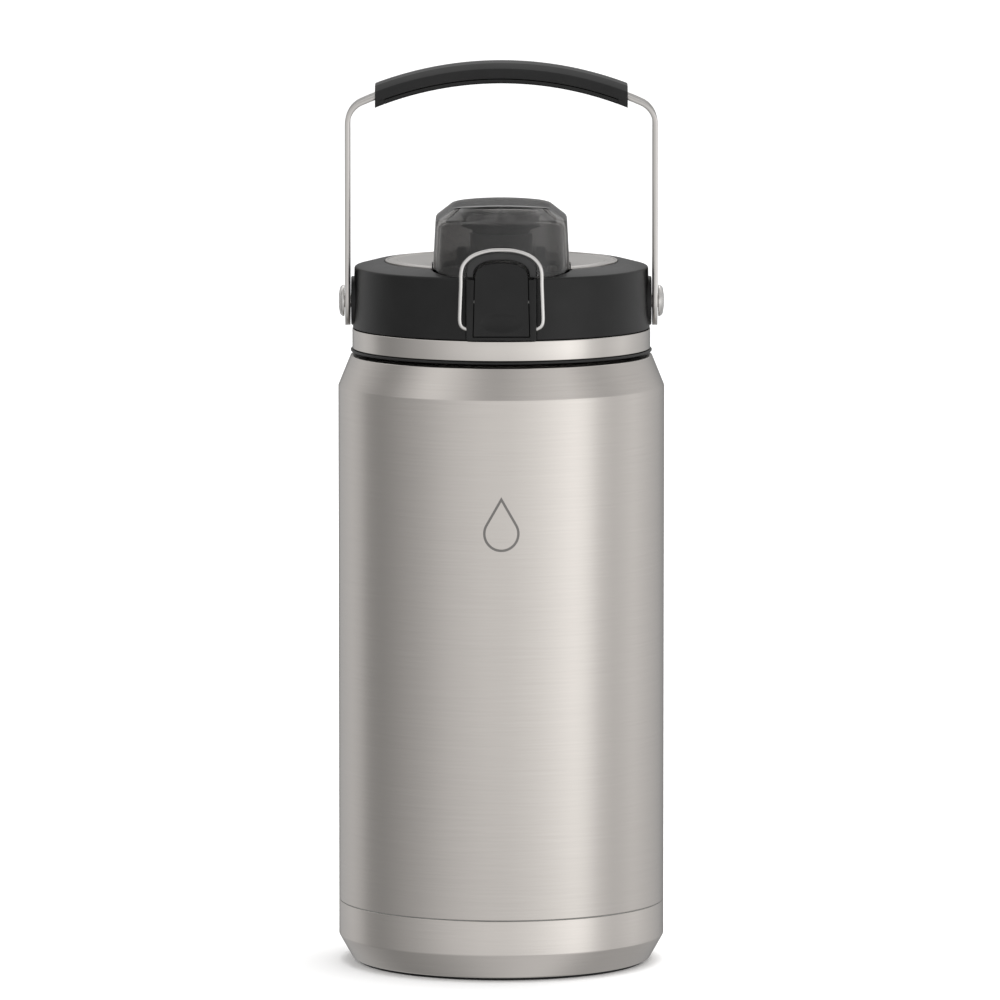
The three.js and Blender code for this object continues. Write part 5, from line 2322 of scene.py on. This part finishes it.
@dataclass
class Studio:
    """The camera, the pale floor and the soft light.

    Attributes:
        distance: Distance of the camera from the jug's axis, in metres.
        height: Height of the camera, in metres.
        tilt: How far it looks down, in radians.
        lens: Focal length, in sensor millimetres.
        glow: How much brighter than its own light the floor looks, at the jug and far from it.
        nearby: Distances from the jug between which the glow changes, in metres.
        rise: Upward slopes between which the room changes from its level to its upper light.
        sink: Downward slopes between which it changes from its lower to its level light.
        ceiling: Upward slopes between which the ceiling's light comes in.
        behind: Backward slopes between which the ceiling reaches its full brightness.
    """

    distance: float = 3.7375
    height: float = 0.5854
    tilt: float = 0.1105
    lens: float = 367.2
    glow: tuple[float, float] = (0.07, 0.32)
    nearby: tuple[float, float] = (0.12, 1.2)
    rise: tuple[float, float] = (0.12, 0.36)
    sink: tuple[float, float] = (-0.55, -0.1)
    ceiling: tuple[float, float] = (0.45, 0.8)
    behind: tuple[float, float] = (0.1, 0.55)

    def build(self) -> None:
        """Sets up the camera, the floor and the light."""
        self.camera()
        self.floor()
        self.sky()
        self.lamp("overhead_softbox", (0.3, 0.1, 1.9), 1.8, 30.0)

    def camera(self) -> None:
        """Places the camera straight in front, looking slightly down."""
        data = bpy.data.cameras.new("view")
        data.lens = self.lens
        data.sensor_width = 36.0
        data.clip_end = 50
        camera = bpy.data.objects.new("view", data)
        camera.location = (-0.000485, -self.distance, self.height)
        camera.rotation_euler = Euler((math.pi / 2 - self.tilt, 0, 0))
        bpy.context.scene.collection.objects.link(camera)
        bpy.context.scene.camera = camera

    def floor(self) -> None:
        """Lays the pale floor that the jug stands on, and keeps it out of the steel's reflections."""
        bm = bmesh.new()
        bmesh.ops.create_grid(bm, x_segments=1, y_segments=1, size=6.0)
        data = bpy.data.meshes.new("floor")
        bm.to_mesh(data)
        bm.free()
        bench = Bench("floor_paint")
        tree = bench.tree
        bench.set(Roughness=0.9, Specular_IOR_Level=0.1, Emission_Color=(1, 1, 1, 1))
        cloud = noise(tree, bench.place, 3.0)
        bench.feed(bench.blend(cloud, (0.93, 0.93, 0.93), (0.95, 0.95, 0.95), 0.3, 0.7), "Base Color")
        rays = tree.nodes.new("ShaderNodeLightPath").outputs
        seen = math_node(tree, "MAXIMUM", rays["Is Camera Ray"], rays["Is Transmission Ray"])
        away = tree.nodes.new("ShaderNodeVectorMath")
        away.operation = "LENGTH"
        tree.links.new(bench.place, away.inputs[0])
        glow = self.ease(tree, away.outputs["Value"], self.nearby, self.glow)
        bench.feed(math_node(tree, "MULTIPLY", seen, glow), "Emission Strength")
        clear = tree.nodes.new("ShaderNodeBsdfTransparent")
        choice = tree.nodes.new("ShaderNodeMixShader")
        tree.links.new(rays["Is Glossy Ray"], choice.inputs["Fac"])
        tree.links.new(bench.shader.outputs["BSDF"], choice.inputs[1])
        tree.links.new(clear.outputs["BSDF"], choice.inputs[2])
        tree.links.new(choice.outputs["Shader"], tree.nodes["Material Output"].inputs["Surface"])
        data.materials.append(bench.material)
        floor = bpy.data.objects.new("floor", data)
        bpy.context.scene.collection.objects.link(floor)

    def sky(self) -> None:
        """Surrounds the jug with a white room whose brightness changes softly with direction."""
        world = bpy.data.worlds.new("room")
        world.use_nodes = True
        bpy.context.scene.world = world
        tree = world.node_tree
        way = tree.nodes.new("ShaderNodeTexCoord").outputs["Generated"]
        split = tree.nodes.new("ShaderNodeSeparateXYZ")
        tree.links.new(way, split.inputs[0])
        ahead = math_node(tree, "MULTIPLY", split.outputs["Y"], -1.0)
        bearing = math_node(tree, "ARCTAN2", split.outputs["X"], ahead)
        share = math_node(tree, "MULTIPLY_ADD", bearing, 1 / (2 * math.pi), 0.5)
        level = self.panorama(tree, share, LEVEL_LIGHT)
        upper = self.panorama(tree, share, UPPER_LIGHT)
        lower = self.panorama(tree, share, LOWER_LIGHT)
        rise = self.ease(tree, split.outputs["Z"], self.rise, (0.0, 1.0))
        sink = self.ease(tree, split.outputs["Z"], self.sink, (1.0, 0.0))
        lifted = math_node(tree, "MULTIPLY", rise, math_node(tree, "SUBTRACT", upper, level))
        sunk = math_node(tree, "MULTIPLY", sink, math_node(tree, "SUBTRACT", lower, level))
        high = self.ease(tree, split.outputs["Z"], self.ceiling, (0.0, 1.0))
        behind = self.ease(tree, split.outputs["Y"], self.behind, (0.0, 1.1))
        ceiling = math_node(tree, "MULTIPLY", high, behind)
        walls = math_node(tree, "ADD", level, math_node(tree, "ADD", lifted, sunk))
        light = math_node(tree, "ADD", walls, ceiling)
        rays = tree.nodes.new("ShaderNodeLightPath").outputs
        seen = math_node(tree, "MAXIMUM", rays["Is Camera Ray"], rays["Is Transmission Ray"])
        rest = math_node(tree, "MULTIPLY", math_node(tree, "SUBTRACT", 1.0, seen), light)
        strength = math_node(tree, "ADD", rest, seen)
        tree.links.new(strength, tree.nodes["Background"].inputs["Strength"])
        tree.nodes["Background"].inputs["Color"].default_value = (1, 1, 1, 1)

    def panorama(
        self, tree: bpy.types.NodeTree, share: bpy.types.NodeSocket, stops: Sequence[tuple[float, float]]
    ) -> bpy.types.NodeSocket:
        """Brightness of the room all round, at one level.

        Args:
            tree: The world's tree.
            share: The bearing, from 0 (behind, on the left) over 0.5 (in front) to 1.
            stops: Bearings in degrees with the brightness there.

        Returns:
            The brightness.
        """
        ramp = tree.nodes.new("ShaderNodeValToRGB")
        tree.links.new(share, ramp.inputs["Fac"])
        elements = ramp.color_ramp.elements
        elements[0].position, elements[1].position = 0.0, 1.0
        for degrees, _ in stops[1:-1]:
            elements.new(degrees / 360 + 0.5)
        for element, (_, brightness) in zip(elements, stops):
            element.color = (brightness / 2, brightness / 2, brightness / 2, 1)
        return math_node(tree, "MULTIPLY", ramp.outputs["Color"], 2.0)

    def ease(
        self,
        tree: bpy.types.NodeTree,
        value: bpy.types.NodeSocket,
        span: tuple[float, float],
        result: tuple[float, float],
    ) -> bpy.types.NodeSocket:
        """Passes smoothly from one number to another.

        Args:
            tree: The world's tree.
            value: The socket that drives the change.
            span: Where the change starts and ends.
            result: The numbers before and after.

        Returns:
            The eased number.
        """
        node = tree.nodes.new("ShaderNodeMapRange")
        node.interpolation_type = "SMOOTHSTEP"
        tree.links.new(value, node.inputs["Value"])
        node.inputs["From Min"].default_value, node.inputs["From Max"].default_value = span
        node.inputs["To Min"].default_value, node.inputs["To Max"].default_value = result
        return node.outputs["Result"]

    def lamp(self, name: str, place: tuple[float, float, float], size: float, power: float) -> None:
        """Hangs one square softbox that faces the jug.

        Args:
            name: The lamp's name.
            place: Where it hangs, in metres.
            size: Its side, in metres.
            power: Its power, in watts.
        """
        data = bpy.data.lights.new(name, "AREA")
        data.shape = "SQUARE"
        data.size = size
        data.energy = power
        lamp = bpy.data.objects.new(name, data)
        lamp.location = place
        lamp.visible_glossy = False
        aim = Vector((0, 0, 0.15)) - Vector(place)
        lamp.rotation_euler = aim.to_track_quat("-Z", "Y").to_euler()
        bpy.context.scene.collection.objects.link(lamp)


def main() -> None:
    """Builds the jug piece by piece around the frame."""
    logging.basicConfig(level=logging.INFO, format="%(name)s: %(message)s")
    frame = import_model()
    bpy.context.scene.view_settings.view_transform = "Standard"
    Studio().build()
    finishes = Finishes()
    plan = CapPlan()
    Vessel(frame, finishes).build()
    Lid(frame, finishes, plan).build()
    FlipCap(finishes, plan).build()
    Latch(frame, finishes).build()
    Handle(finishes).build()


if __name__ == "__main__":
    main()
